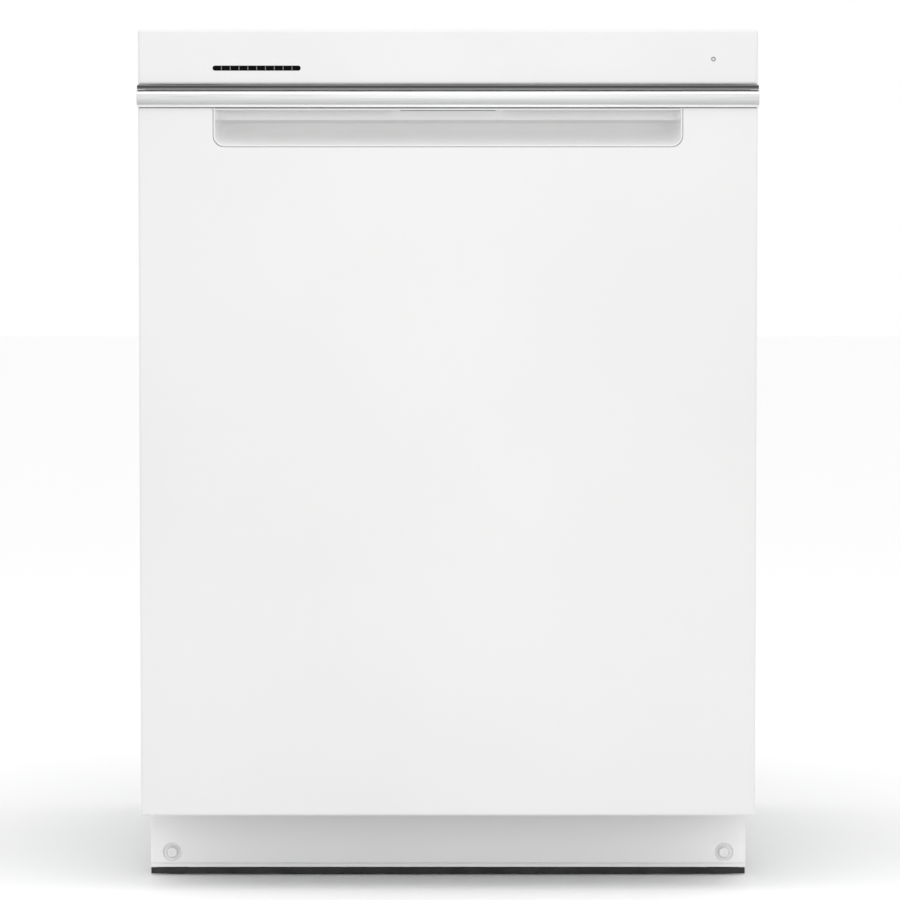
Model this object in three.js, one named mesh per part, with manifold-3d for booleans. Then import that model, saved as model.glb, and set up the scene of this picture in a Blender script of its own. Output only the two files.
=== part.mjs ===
// Built-in dishwasher, 24 inch class, with a drop-down door, two racks, spray arms and a sump.
// Millimetres. +Z is up, the door faces -Y, and the origin is under the middle of the object.

import * as THREE from 'three';
import { mergeVertices } from 'three/addons/utils/BufferGeometryUtils.js';
import Module from 'manifold-3d';

const wasm = await Module();
wasm.setup();

// ---------------------------------------------------------------- driving dimensions

const WIDTH = 606;
const HEIGHT = 845;
const DEPTH = 622;
const FRONT = -DEPTH / 2;
const BACK = DEPTH / 2;
const GAP = 0.3; // clearance between pieces that touch
const SIDES = [['left', -1], ['right', 1]];

// Door, closed. Its outer face is a little behind the grip strip.
const DOOR = { half: 302, face: FRONT + 5, bottom: 74.6, skin: 1.2, fold: 20 };
const FASCIA = { bottom: 791.7, top: HEIGHT, wall: 3, back: FRONT + 53 };
const STRIP = { half: WIDTH / 2, bottom: 769, top: 786, back: FRONT + 7 };
const POCKET = { half: 229, bottom: 730.5, top: 788, back: FRONT + 39, lip: 2, wall: 3, corner: 11 };
const LINER = { half: 290, inner: FRONT + 57.5, front: FRONT + 27, bottom: 103, top: 838, wall: 2 };
const HINGE = { y: FRONT + 47, z: 106, pin: 4, hole: 4.5 };
const VENT = { left: -229.5, right: -143, z: 807.1, height: 5.6, slots: 10 };
const LENS = { x: 258.4, z: 815.9, radius: 2 };
const KEY = { pitch: 110, length: 44, width: 14, thick: 5.6, corner: 3 };
const KEY_PLACES = [['start', 0], ['cycle', -KEY.pitch], ['options', KEY.pitch]];
const PANEL = { half: 200, front: DOOR.face + 14, back: DOOR.face + 40, bottom: 839.4, top: HEIGHT - 1.4 };
const PADDLE = { half: 54.4, bottom: 766, thick: 4, y: FRONT + 15.5, pivot: 780, shaft: 3 };
const DISPENSER = { x: [-70, 90], z: [390, 510], front: FRONT + 31, face: FRONT + 61, flange: 6 };
const CUP = { x: [-60, 4], z: [398, 462], depth: 27 };
const LID = { rim: 4, thick: 3, grip: 6 };
const RINSE = { x: -28, z: 490, radius: 15, thick: 4, grip: 8 };
const ARM_STRAP = { front: HINGE.y - 14, back: HINGE.y + 8, top: 330, eye: 10, sheet: 2.9 };
const CATCH = { half: 18, hook: 12, bottom: 822, top: 836, reach: 15 };

// Cabinet.
const TUB = { half: 273, wall: 3, front: -250, back: BACK - 11, bottom: 113.5, top: 806, corner: 10 };
const RIM = { half: 288, bottom: 104, top: 820, thick: 2.5 };
const GASKET = { outer: 286, inner: 276, top: 817, foot: 118 };
const BLANKET = { half: 286, thick: 12.5, front: -246, back: BACK - 26, bottom: 140 };
const FRAME = { outer: 299, plate: 2.5, top: 826, toe: -200, post: -246, postDepth: 30 };
const BASE_RAIL = { bottom: 40, top: 100, shoulder: 84, flange: 258, rearPost: BACK - 28, rearTop: 300 };
const LUG = { front: FRONT + 35, bottom: 94, top: 118 };
const BRACKET = { x: 170, half: 20, depth: 30, sheet: 2, hole: 3, top: HEIGHT - 0.4 };
const STRIKE = { half: 22, slot: 14, depth: 14, top: 838, slotTop: 835.6 };
const TRAY = { half: 255, front: -196, back: BACK - 5, bottom: 24, top: 40, wall: 2, floor: 2.3 };
const TOE = { half: 299.5, y: DOOR.face + 100, thick: 3, bottom: 12.3, top: 80 };
const KICK = { thick: 1.8, bottom: 7.8, top: 60, sealBottom: 1, sealTop: 7.5 };
const SCREW = { x: 278, z: 23.5, head: 5.5, washer: 6.8, shank: 2.4, reach: 9 };
const DISH = { mouth: 9.8, seat: 7.6, depth: 1.9 };
const SPRING = { x: 285, z: 70, coil: 7, hook: 1.6, stations: [-165, -140, 60, 90] };
const FOOT = {
  x: 279, front: -180, rear: BACK - 26, pad: 17, padThick: 6, hex: 9, hexTop: 12, stem: 5, height: 80,
};

// Wash system. Everything turns or stands round the sump's axis.
const SUMP = { y: 20, radius: 87.6, wall: 3, bottom: 66, rim: 116.2, tower: 12, towerTop: 131.5 };
const FILTER = { x: 48, radius: 26, bottom: 76, top: 129 };
const ARM = { reach: 235, bottom: 134, thick: 14, hub: 30, width: 44 };
const UPPER_ARM = { y: 8, reach: 222, hub: 26, bottom: 446 };
const HEATER = { radius: 205, z: 126, tube: 4, start: -80, sweep: 340, stations: 26, splay: 4 };
const WASH_PUMP = { z: 84, stations: [92, 122, 188, 196], casing: 25, motor: 20, cap: 22 };
const DRAIN_PUMP = { z: 80, stations: [-172, -116, -92], casing: 20, motor: 15 };
const VALVE = { x: [-214, -170], y: [-160, -130], top: 62, inlet: 10, inletZ: 44, coil: 12, coilTop: 92 };
const JUNCTION = { x: [165, 225], y: [-188, -130], top: 82, lid: 3, lidRim: 3 };
const DUCT = { half: 12, depth: 16, top: 478, nozzle: 8, nozzleZ: 462, nozzleFront: 250 };
const FLOAT = { x: -200, y: -195 };

// Racks.
const WIRE = 4;
const LOWER = { half: 250, front: -225, back: 235, floor: 170, top: 300 };
const UPPER = { half: 245, front: -228, back: 225, floor: 470, top: 590 };
const WHEEL = { radius: 16, width: 10, x: 258, front: -108, rear: 190, bore: 3.1, axle: 2.6 };
const RUNNER = { inner: 250, outer: 258, bottom: 504, top: 516, half: 215 };
const RAIL = { front: -238, back: 240, bottom: 498, top: 522, sheet: 2.5, lip: 2, slack: 1.5 };
const TINE = { y: 100, height: 92, half: 216, count: 13, shaft: 3, shaftHalf: 222 };
const SHELF = { z: 552, reach: 92, half: 165, bar: 160, middle: 44, shaft: 3 };
const BASKET = { half: 200, front: -216, back: -150, bottom: 174.5, top: 292, wall: 2.5, cells: 4 };

// ---------------------------------------------------------------- solids

// A closed three.js geometry as a manifold solid.
function solid(geometry) {
  geometry.deleteAttribute('normal');
  geometry.deleteAttribute('uv');
  const merged = mergeVertices(geometry, 1e-4);
  return new wasm.Manifold(new wasm.Mesh({
    numProp: 3,
    vertProperties: new Float32Array(merged.attributes.position.array),
    triVerts: new Uint32Array(merged.index.array),
  }));
}

// A box between two limits on each axis.
function box([x0, x1], [y0, y1], [z0, z1]) {
  const geometry = new THREE.BoxGeometry(x1 - x0, y1 - y0, z1 - z0);
  return solid(geometry.translate((x0 + x1) / 2, (y0 + y1) / 2, (z0 + z1) / 2));
}

// A round bar along X, Y or Z, from one place on that axis to another. The centre gives its other
// two coordinates in X, Y, Z order.
function rod(axis, radius, [from, to], [a, b], sides = 20, endRadius = radius) {
  const geometry = new THREE.CylinderGeometry(endRadius, radius, to - from, sides);
  const middle = (from + to) / 2;
  if (axis === 'x') return solid(geometry.rotateZ(-Math.PI / 2).translate(middle, a, b));
  if (axis === 'y') return solid(geometry.translate(a, middle, b));
  return solid(geometry.rotateX(Math.PI / 2).translate(a, b, middle));
}

const EXTRUDE = { bevelEnabled: false, steps: 1, curveSegments: 5 };

// An outline in X and Z, drawn out along Y.
function alongY(shape, [y0, y1]) {
  const geometry = new THREE.ExtrudeGeometry(shape, { ...EXTRUDE, depth: y1 - y0 });
  return solid(geometry.rotateX(Math.PI / 2).translate(0, y1, 0));
}

// An outline in Y and Z, drawn out along X.
function alongX(shape, [x0, x1]) {
  const geometry = new THREE.ExtrudeGeometry(shape, { ...EXTRUDE, depth: x1 - x0 });
  const turn = new THREE.Matrix4().makeBasis(
    new THREE.Vector3(0, 1, 0), new THREE.Vector3(0, 0, 1), new THREE.Vector3(1, 0, 0));
  return solid(geometry.applyMatrix4(turn).translate(x0, 0, 0));
}

// A profile of [radius, height] points turned round a vertical axis.
function turned(profile, x, y, segments = 28) {
  const points = profile.map(([r, z]) => new THREE.Vector2(r, z));
  const geometry = new THREE.LatheGeometry(points, segments).rotateX(Math.PI / 2);
  return solid(geometry.translate(x, y, 0));
}

function outline(points) {
  return new THREE.Shape(points.map(([a, b]) => new THREE.Vector2(a, b)));
}

// A rectangle with all four corners round, or only the lower two.
function rounded([a0, a1], [b0, b1], radius, lowerOnly = false) {
  const shape = new THREE.Shape();
  const upper = lowerOnly ? 0 : radius;
  shape.moveTo(a0 + radius, b0);
  shape.lineTo(a1 - radius, b0);
  shape.absarc(a1 - radius, b0 + radius, radius, -Math.PI / 2, 0);
  shape.lineTo(a1, b1 - upper);
  if (upper) shape.absarc(a1 - upper, b1 - upper, upper, 0, Math.PI / 2);
  shape.lineTo(a0 + upper, b1);
  if (upper) shape.absarc(a0 + upper, b1 - upper, upper, Math.PI / 2, Math.PI);
  shape.lineTo(a0, b0 + radius);
  shape.absarc(a0 + radius, b0 + radius, radius, Math.PI, Math.PI * 1.5);
  return shape;
}

function join(...solids) {
  return solids.reduce((whole, piece) => whole.add(piece));
}

function cut(whole, ...pieces) {
  return pieces.reduce((rest, piece) => rest.subtract(piece), whole);
}

// ---------------------------------------------------------------- scene helpers

const dishwasher = new THREE.Group();

const FINISH = {
  white: { color: 0xf2f2f1, roughness: 0.32, metalness: 0 },
  satin: { color: 0xd9dadb, roughness: 0.3, metalness: 0.6 },
  steel: { color: 0xb4b6b8, roughness: 0.38, metalness: 0.9 },
  grey: { color: 0x8f9498, roughness: 0.55, metalness: 0 },
  pale: { color: 0xc6cacd, roughness: 0.5, metalness: 0 },
  blue: { color: 0x9fb0bd, roughness: 0.5, metalness: 0 },
  dark: { color: 0x2b2d2f, roughness: 0.6, metalness: 0 },
  black: { color: 0x121313, roughness: 0.7, metalness: 0 },
  felt: { color: 0x6f7173, roughness: 0.95, metalness: 0 },
};

// Adds one named piece. Its solid is in the object's frame unless a place is given.
function add(name, finish, shape, [x, y, z] = [0, 0, 0]) {
  const mesh = shape.getMesh();
  const geometry = new THREE.BufferGeometry();
  geometry.setAttribute('position', new THREE.BufferAttribute(mesh.vertProperties, 3));
  geometry.setIndex(new THREE.BufferAttribute(mesh.triVerts, 1));
  geometry.computeVertexNormals();
  const piece = new THREE.Mesh(geometry, new THREE.MeshStandardMaterial(FINISH[finish]));
  piece.name = name;
  piece.position.set(x, y, z);
  dishwasher.add(piece);
}

// ---------------------------------------------------------------- cabinet

// Open-fronted wash tub with a flat rim round its mouth and a round hole for the sump.
function tub() {
  const { half, wall, front, back, bottom, top, corner } = TUB;
  const shell = alongY(rounded([-half, half], [bottom, top], corner), [front, back]);
  const mouth = rounded([wall - half, half - wall], [bottom + wall, top - wall], corner - wall);
  const rim = box([-RIM.half, RIM.half], [front, front + RIM.thick], [RIM.bottom, RIM.top]);
  const drain = rod('z', SUMP.radius + 0.4, [bottom - 1, bottom + wall + 1], [0, SUMP.y], 36);
  return cut(join(shell, rim), alongY(mouth, [front - 1, back - wall]), drain);
}

// Seal up both sides and across the top of the tub's mouth.
function tubGasket() {
  const { outer, inner, top, foot } = GASKET;
  const under = top - (outer - inner);
  const shape = outline([
    [-outer, foot], [-inner, foot], [-inner, under], [inner, under],
    [inner, foot], [outer, foot], [outer, top], [-outer, top],
  ]);
  return alongY(shape, [LINER.inner + GAP, TUB.front - GAP]);
}

// Sound blanket laid over the tub's top and down both sides.
function insulationBlanket() {
  const { half, thick, front, back, bottom } = BLANKET;
  const inner = half - thick;
  const top = TUB.top + 0.5;
  const outside = rounded([-half, half], [bottom - 60, top + thick], TUB.corner + 10);
  const inside = rounded([-inner, inner], [bottom - 40, top], TUB.corner);
  const below = box([-half - 1, half + 1], [front - 1, back + 1], [0, bottom]);
  return cut(alongY(outside, [front, back]), alongY(inside, [front - 1, back + 1]), below);
}

// Sheet-steel side: front post, base rail, short rear post and the lug with the door's hinge pin.
function sideFrame(side) {
  const { outer, plate, top, toe, post, postDepth } = FRAME;
  const rail = BASE_RAIL;
  const shape = outline([
    [toe, rail.bottom], [BACK, rail.bottom], [BACK, rail.rearTop],
    [rail.rearPost, rail.rearTop], [rail.rearPost, rail.top], [post + postDepth, rail.top],
    [post + postDepth, top], [post, top], [post, LUG.top], [LUG.front, LUG.top],
    [LUG.front, LUG.bottom], [post, LUG.bottom], [post, rail.shoulder], [toe, rail.shoulder],
  ]);
  const sheet = alongX(shape, ordered(side * (outer - plate), side * outer));
  const flange = box(ordered(side * rail.flange, side * outer), [toe, BACK],
    [rail.bottom, rail.bottom + plate]);
  const pin = rod('x', HINGE.pin, ordered(side * (LINER.half + 0.9), side * (outer - 1)),
    [HINGE.y, HINGE.z], 16);
  const holes = [FOOT.front, FOOT.rear].map((y) =>
    rod('z', FOOT.stem + 0.6, [rail.bottom - 1, rail.bottom + plate + 1], [side * FOOT.x, y], 16));
  return cut(join(sheet, flange, pin), ...holes);
}

function ordered(a, b) {
  return a < b ? [a, b] : [b, a];
}

// Tab that is screwed to the underside of a worktop.
function mountingBracket() {
  const { half, depth, sheet, hole, top } = BRACKET;
  const low = RIM.top + GAP;
  return cut(
    join(
      box([-half, half], [0, depth], [low, low + sheet]),
      box([-half, half], [0, sheet], [low, top]),
      box([-half, half], [0, depth], [top - sheet, top])),
    rod('z', hole, [top - sheet - 1, top + 1], [0, depth * 0.65], 12));
}

// Slotted keeper that the door's catch pushes into.
function doorStrike() {
  const { half, slot, depth, top, slotTop } = STRIKE;
  const low = RIM.top + GAP;
  const window = box([-slot, slot], [FRAME.post - 1, FRAME.post + depth + 1], [low - 1, slotTop]);
  return cut(box([-half, half], [FRAME.post, FRAME.post + depth], [low, top]), window);
}

// Spill tray under everything that holds water.
function baseTray() {
  const { half, front, back, bottom, top, wall, floor } = TRAY;
  const hollow = box([wall - half, half - wall], [front + wall, back - wall], [bottom + floor, top + 1]);
  return cut(box([-half, half], [front, back], [bottom, top]), hollow);
}

// Recessed panel under the door, dished round its two screws.
function toePanel() {
  const { half, y, thick, bottom, top } = TOE;
  const back = y + thick;
  const dishes = SIDES.map(([, side]) =>
    rod('y', DISH.mouth, [y - 0.5, y + DISH.depth], [side * SCREW.x, SCREW.z], 28, DISH.seat));
  const holes = SIDES.map(([, side]) =>
    rod('y', SCREW.shank + 0.5, [y - 1, back + 1], [side * SCREW.x, SCREW.z], 12));
  return cut(box([-half, half], [y, back], [bottom, top]), ...dishes, ...holes);
}

// Adjustable plate behind the toe panel that shows below it.
function kickPlate() {
  const front = TOE.y + TOE.thick + GAP;
  const y = [front, front + KICK.thick];
  const holes = SIDES.map(([, side]) =>
    rod('y', SCREW.shank + 0.5, [y[0] - 1, y[1] + 1], [side * SCREW.x, SCREW.z], 12));
  return cut(box([-TOE.half, TOE.half], y, [KICK.bottom, KICK.top]), ...holes);
}

function toeSeal() {
  const y = TOE.y + TOE.thick + GAP;
  return box([-TOE.half, TOE.half], [y, y + KICK.thick], [KICK.sealBottom, KICK.sealTop]);
}

// Hexagon washer-head screw, pointing along +Y from its head.
function toeScrew() {
  const seat = DISH.depth + GAP;
  return join(
    rod('y', SCREW.washer, [-seat + 0.9, -GAP], [0, 0], 20),
    rod('y', SCREW.head, [-seat - 1.6, -seat + 1], [0, 0], 6),
    rod('y', SCREW.shank, [-GAP - 0.1, SCREW.reach], [0, 0], 10));
}

// Bowl under the tub's floor, with its clamping flange and the riser that carries the lower arm.
function sump() {
  const { radius, wall, bottom, rim, tower, towerTop, y } = SUMP;
  const flange = radius + 10;
  const under = TUB.bottom - GAP;
  return turned([
    [0, bottom], [radius, bottom], [radius, under - wall], [flange, under - wall], [flange, under],
    [radius, under], [radius, rim], [radius - wall, rim], [radius - wall, bottom + wall],
    [tower, bottom + wall], [tower, towerTop], [0, towerTop],
  ], 0, y, 32);
}

function filterCup() {
  const { x, radius, bottom, top } = FILTER;
  const grip = box([x - 3, x + 3], [SUMP.y - radius + 3, SUMP.y + radius - 3], [top - 9, top]);
  return join(turned([[0, bottom], [radius - 4, bottom], [radius, top - 8], [0, top - 8]], x, SUMP.y), grip);
}

// Wash pump: wet end beside the sump, then the motor.
function circulationPump() {
  const { z, casing, motor, cap, stations: [wet, back, end, last] } = WASH_PUMP;
  return join(
    rod('x', casing, [wet, back], [SUMP.y, z]),
    rod('x', motor, [back - 1, end], [SUMP.y, z]),
    rod('x', cap, [end - 1, last], [SUMP.y, z]));
}

function drainPump() {
  const { z, casing, motor, stations: [last, back, wet] } = DRAIN_PUMP;
  return join(rod('x', casing, [back, wet], [SUMP.y, z]), rod('x', motor, [last, back + 1], [SUMP.y, z]));
}

// Solenoid fill valve standing in the tray, with its threaded inlet forward.
function inletValve() {
  const { x, y, top, inlet, inletZ, coil, coilTop } = VALVE;
  const middle = (x[0] + x[1]) / 2;
  return join(
    box(x, y, [TRAY.bottom + TRAY.floor + GAP, top]),
    rod('y', inlet, [y[0] - 20, y[0] + 1], [middle, inletZ], 16),
    rod('z', coil, [top - 1, coilTop], [middle, (y[0] + y[1]) / 2], 16));
}

function junctionBox() {
  const { x, y, top, lid, lidRim } = JUNCTION;
  const floor = TRAY.bottom + TRAY.floor + GAP;
  const cover = box([x[0] - lidRim, x[1] + lidRim], [y[0] - lid + 1, y[0] + 1], [floor, top + 4]);
  return join(box(x, y, [floor, top]), cover);
}

// Loop of sheathed heating rod round the lower arm, with both ends turned down to the floor.
function heaterElement() {
  const { radius, z, tube, start, sweep, stations, splay } = HEATER;
  const points = [];
  for (let i = 0; i <= stations; i += 1) {
    const angle = THREE.MathUtils.degToRad(start + (sweep * i) / stations);
    points.push(new THREE.Vector3(radius * Math.cos(angle), SUMP.y + radius * Math.sin(angle), z));
  }
  const low = TUB.bottom + TUB.wall + GAP;
  points.unshift(points[0].clone().setZ(low).add(new THREE.Vector3(-splay, 0, 0)));
  points.push(points[stations + 1].clone().setZ(low).add(new THREE.Vector3(splay, 0, 0)));
  const section = new THREE.Shape().absarc(0, 0, tube, 0, Math.PI * 2);
  const path = new THREE.CatmullRomCurve3(points);
  const options = { extrudePath: path, steps: 56, bevelEnabled: false, curveSegments: 4 };
  return solid(new THREE.ExtrudeGeometry(section, options))
    .subtract(box([-radius, radius], [-radius - 60, SUMP.y - radius / 2], [low - 20, low]));
}

// Flat duct up the back wall, with the nozzle that the upper rack's pipe docks on.
function feedTube() {
  const { half, depth, top, nozzle, nozzleZ, nozzleFront } = DUCT;
  const back = TUB.back - TUB.wall - GAP;
  return join(
    box([-half, half], [back - depth, back], [TUB.bottom + TUB.wall + GAP, top]),
    rod('y', nozzle, [nozzleFront, back - depth + 1], [0, nozzleZ], 14));
}

// Open channel on the tub's side wall that the upper rack's runner slides in.
function rackRail() {
  const { front, back, bottom, top, sheet, lip, slack } = RAIL;
  const wall = TUB.half - TUB.wall - GAP;
  const inner = RUNNER.inner + 1;
  const y = [front, back];
  return join(
    box([wall - sheet, wall], y, [bottom, top]),
    box([inner, wall], y, [bottom, bottom + sheet]),
    box([inner, wall], y, [top - sheet, top]),
    box([inner, inner + lip], y, [bottom, RUNNER.bottom - slack]),
    box([inner, inner + lip], y, [RUNNER.top + slack, top]));
}

// Tension spring that balances the door, with a hook at each end.
function doorSpring() {
  const { z, coil, hook, stations: [first, front, back, last] } = SPRING;
  return join(
    rod('y', coil, [front, back], [0, z], 12),
    rod('y', hook, [first, front + 1], [0, z], 8),
    rod('y', hook, [back - 1, last], [0, z], 8));
}

// Levelling foot: a pad and its threaded stem.
function foot() {
  const { pad, padThick, hex, hexTop, stem, height } = FOOT;
  return join(
    rod('z', pad, [0, padThick], [0, 0], 20, pad - 2),
    rod('z', hex, [padThick - 0.1, hexTop], [0, 0], 6),
    rod('z', stem, [hexTop - 0.1, height], [0, 0], 12));
}

// ---------------------------------------------------------------- wash gear and racks

// Two-ended spray arm, flat and tapered, round a hub.
function sprayArm(reach, hub) {
  const { thick, width } = ARM;
  const tip = width * 0.32;
  const blade = outline([
    [-reach, -tip], [-hub, -width / 2], [hub, -width / 2], [reach, -tip],
    [reach, tip], [hub, width / 2], [-hub, width / 2], [-reach, tip],
  ]);
  const flat = new THREE.ExtrudeGeometry(blade, { ...EXTRUDE, depth: thick - 4 });
  return join(solid(flat.translate(0, 0, 2)), rod('z', hub, [-1.5, thick + 2], [0, 0], 24));
}

function floatDome() {
  return turned([[0, 0], [22, 0], [24, 6], [20, 28], [12, 34], [0, 36]], 0, 0, 20);
}

// Evenly spaced places from one limit to another, both included.
function spread(from, to, count) {
  return Array.from({ length: count }, (_, i) => from + ((to - from) * i) / (count - 1));
}

// Wire basket: a barred floor, upright wires on all four sides and a top rail.
function wireBasket({ half, front, back, floor, top }) {
  const w = WIRE / 2;
  const bar = (x, y, z) => box([x[0] - w, x[1] + w], [y[0] - w, y[1] + w], [z[0] - w, z[1] + w]);
  const across = spread(-half, half, 7);
  const deep = spread(front, back, 7);
  const wires = [];
  for (const x of across) {
    wires.push(bar([x, x], [front, back], [floor, floor]));
    wires.push(bar([x, x], [front, front], [floor, top]), bar([x, x], [back, back], [floor, top]));
  }
  for (const y of deep.slice(1, -1)) {
    wires.push(bar([-half, -half], [y, y], [floor, top]), bar([half, half], [y, y], [floor, top]));
  }
  for (const z of [floor, top]) {
    wires.push(bar([-half, half], [front, front], [z, z]), bar([-half, half], [back, back], [z, z]));
  }
  wires.push(bar([-half, -half], [front, back], [top, top]), bar([half, half], [front, back], [top, top]));
  return join(...wires);
}

// Lower rack with four legs, each ending in a stub axle.
function lowerRack() {
  const axle = TUB.bottom + TUB.wall + GAP + WHEEL.radius;
  const legs = [];
  for (const [, side] of SIDES) {
    for (const y of [WHEEL.front, WHEEL.rear]) {
      const x = side * LOWER.half;
      legs.push(box([x - 2, x + 2], [y - 5, y + 5], [axle - 5, LOWER.floor + 2]));
      legs.push(rod('x', WHEEL.axle, ordered(x, side * (WHEEL.x + WHEEL.width / 2)), [y, axle], 10));
      legs.push(box([x - 2, x + 2], [y - 42, y + 42], [LOWER.floor - 4, LOWER.floor]));
    }
  }
  return join(wireBasket(LOWER), ...legs);
}

function upperRack() {
  const runners = SIDES.map(([, side]) =>
    box(ordered(side * (UPPER.half - 1), side * RUNNER.outer),
      [-RUNNER.half, RUNNER.half], [RUNNER.bottom, RUNNER.top]));
  return join(wireBasket(UPPER), ...runners);
}

function rackWheel() {
  return cut(
    rod('x', WHEEL.radius, [-WHEEL.width / 2 + 1, WHEEL.width / 2], [0, 0], 24),
    rod('x', WHEEL.bore, [-WHEEL.width, WHEEL.width], [0, 0], 12));
}

// Cutlery basket with four open-topped cells side by side.
function silverwareBasket() {
  const { half, front, back, bottom, top, wall, cells } = BASKET;
  const pitch = (2 * half - wall) / cells;
  const hollows = Array.from({ length: cells }, (_, i) => {
    const x = -half + wall + i * pitch;
    return box([x, x + pitch - wall], [front + wall, back - wall], [bottom + wall, top + 1]);
  });
  return cut(box([-half, half], [front, back], [bottom, top]), ...hollows);
}

// Row of plate tines on a shaft, folded down towards the back.
function foldTines() {
  const { height, half, count, shaft, shaftHalf } = TINE;
  const w = WIRE / 2;
  const tines = spread(-half, half, count).map((x) => box([x - w, x + w], [-w, w], [0, height]));
  return join(rod('x', shaft, [-shaftHalf, shaftHalf], [0, 0], 10), ...tines);
}

// Flat shelf of bars that folds up against the rack's left side.
function cupShelf() {
  const { reach, half, bar, middle, shaft } = SHELF;
  const w = WIRE / 2;
  const bars = spread(-bar, bar, 5).map((y) => box([0, reach], [y - w, y + w], [-w, w]));
  const rails = [middle, reach].map((x) => box([x - w, x + w], [-bar - w, bar + w], [-w, w]));
  return join(rod('y', shaft, [-half, half], [0, 0], 10), ...bars, ...rails);
}

// ---------------------------------------------------------------- door

// Folded outer skin, notched at the top for the handle pocket.
function doorPanel() {
  const { half, face, bottom, skin, fold } = DOOR;
  const top = STRIP.bottom - GAP;
  const hollow = box([-half + skin, half - skin], [face + skin, face + fold + 1], [bottom + skin, top + 1]);
  const notch = rounded([-POCKET.half, POCKET.half], [POCKET.bottom, top + 20], POCKET.corner, true);
  return cut(box([-half, half], [face, face + fold], [bottom, top]), hollow,
    alongY(notch, [face - 1, face + fold + 1]));
}

// Console shell behind the plain front strip: front, ends, a slotted top and a short underside.
function controlFascia() {
  const { bottom, top, wall, back } = FASCIA;
  const { half, face } = DOOR;
  const shell = box([-half, half], [face, back], [bottom, top]);
  const hollow = box([wall - half, half - wall], [face + wall, back + 1], [bottom + wall, top - wall]);
  const under = box([wall - half, half - wall], [face + 18, back + 1], [bottom - 1, bottom + wall + 1]);
  const slot = box([-PANEL.half - GAP, PANEL.half + GAP], [PANEL.front - GAP, PANEL.back + GAP],
    [top - wall - 1, top + 1]);
  const vent = alongY(ventOutline(0), [face - 1, face + wall + 1]);
  const lens = rod('y', LENS.radius + GAP, [face - 1, face + wall + 1], [LENS.x, LENS.z], 12);
  return cut(shell, hollow, under, slot, vent, lens);
}

function ventOutline(inset) {
  const radius = VENT.height / 2 - inset;
  return rounded([VENT.left + inset, VENT.right - inset], [VENT.z - radius, VENT.z + radius], radius - 0.01);
}

function ventGrille() {
  const y = [DOOR.face + 0.4, DOOR.face + 5];
  const pitch = (VENT.right - VENT.left - 4) / VENT.slots;
  const slots = Array.from({ length: VENT.slots }, (_, i) => {
    const x = VENT.left + 2 + i * pitch;
    return box([x + 0.6, x + pitch - 0.6], [y[0] - 1, y[1] + 1], [VENT.z - 1.6, VENT.z + 1.6]);
  });
  return cut(alongY(ventOutline(GAP), y), ...slots);
}

function statusLens() {
  return rod('y', LENS.radius, [DOOR.face - 0.2, DOOR.face + 4], [LENS.x, LENS.z], 12);
}

// Plate in the console's top edge, with a window for each key.
function controlPanel() {
  const { half, front, back, bottom, top } = PANEL;
  const middle = (front + back) / 2;
  const windows = KEY_PLACES.map(([, x]) => box(
    [x - KEY.length / 2 - GAP, x + KEY.length / 2 + GAP],
    [middle - KEY.width / 2 - GAP, middle + KEY.width / 2 + GAP], [bottom - 1, top + 1]));
  return cut(box([-half, half], [front, back], [bottom, top]), ...windows);
}

function key() {
  const shape = rounded([-KEY.length / 2, KEY.length / 2], [-KEY.width / 2, KEY.width / 2], KEY.corner);
  return solid(new THREE.ExtrudeGeometry(shape, { ...EXTRUDE, depth: KEY.thick }));
}

// Full-width metal strip with a rounded nose, which the fingers pull from behind.
function gripStrip() {
  const { half, bottom, top, back } = STRIP;
  const height = top - bottom;
  const shape = new THREE.Shape();
  shape.moveTo(back, bottom);
  shape.lineTo(back - 3.2, bottom);
  shape.quadraticCurveTo(FRONT, bottom + height * 0.1, FRONT, bottom + height * 0.42);
  shape.quadraticCurveTo(FRONT, top - height * 0.06, back - 3.6, top);
  shape.lineTo(back, top);
  return alongX(shape, [-half, half]);
}

// Open-fronted scoop behind the grip strip.
function handlePocket() {
  const { half, bottom, top, back, lip, wall, corner } = POCKET;
  const front = STRIP.back + GAP;
  const proud = DOOR.face - 0.4;
  const edge = half - GAP;
  const body = alongY(rounded([-edge, edge], [bottom + GAP, top], corner, true), [front, back]);
  const rim = alongY(rounded([-edge, edge], [bottom + GAP, STRIP.bottom - GAP], corner, true),
    [proud, front + 1]);
  const inside = rounded([lip - edge, edge - lip], [bottom + GAP + lip, top - lip], corner - lip, true);
  return cut(join(body, rim), alongY(inside, [proud - 1, back - wall]));
}

// Release paddle that hangs in the roof of the pocket.
function latchPaddle() {
  const { half, bottom, thick, y, pivot, shaft } = PADDLE;
  return join(
    box([-half, half], [y - thick / 2, y + thick / 2], [bottom, pivot]),
    rod('x', shaft, [-half, half], [y, pivot], 12));
}

// Inner door: a shallow pan with a window for the dispenser.
function doorLiner() {
  const { half, inner, front, bottom, top, wall } = LINER;
  const hollow = box([wall - half, half - wall], [front - 1, inner - wall], [bottom + wall, top - wall]);
  const window = box([DISPENSER.x[0] - GAP, DISPENSER.x[1] + GAP], [inner - wall - 1, inner + 1],
    [DISPENSER.z[0] - GAP, DISPENSER.z[1] + GAP]);
  return cut(box([-half, half], [front, inner], [bottom, top]), hollow, window);
}

// Flanged dispenser set in the inner door, with its open detergent cup.
function dispenserBody() {
  const { x, z, front, face, flange } = DISPENSER;
  const flangeBox = box([x[0] - flange, x[1] + flange], [LINER.inner + GAP, face],
    [z[0] - flange, z[1] + flange]);
  return cut(join(box(x, [front, face], z), flangeBox), box(CUP.x, [face - CUP.depth, face + 1], CUP.z));
}

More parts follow.
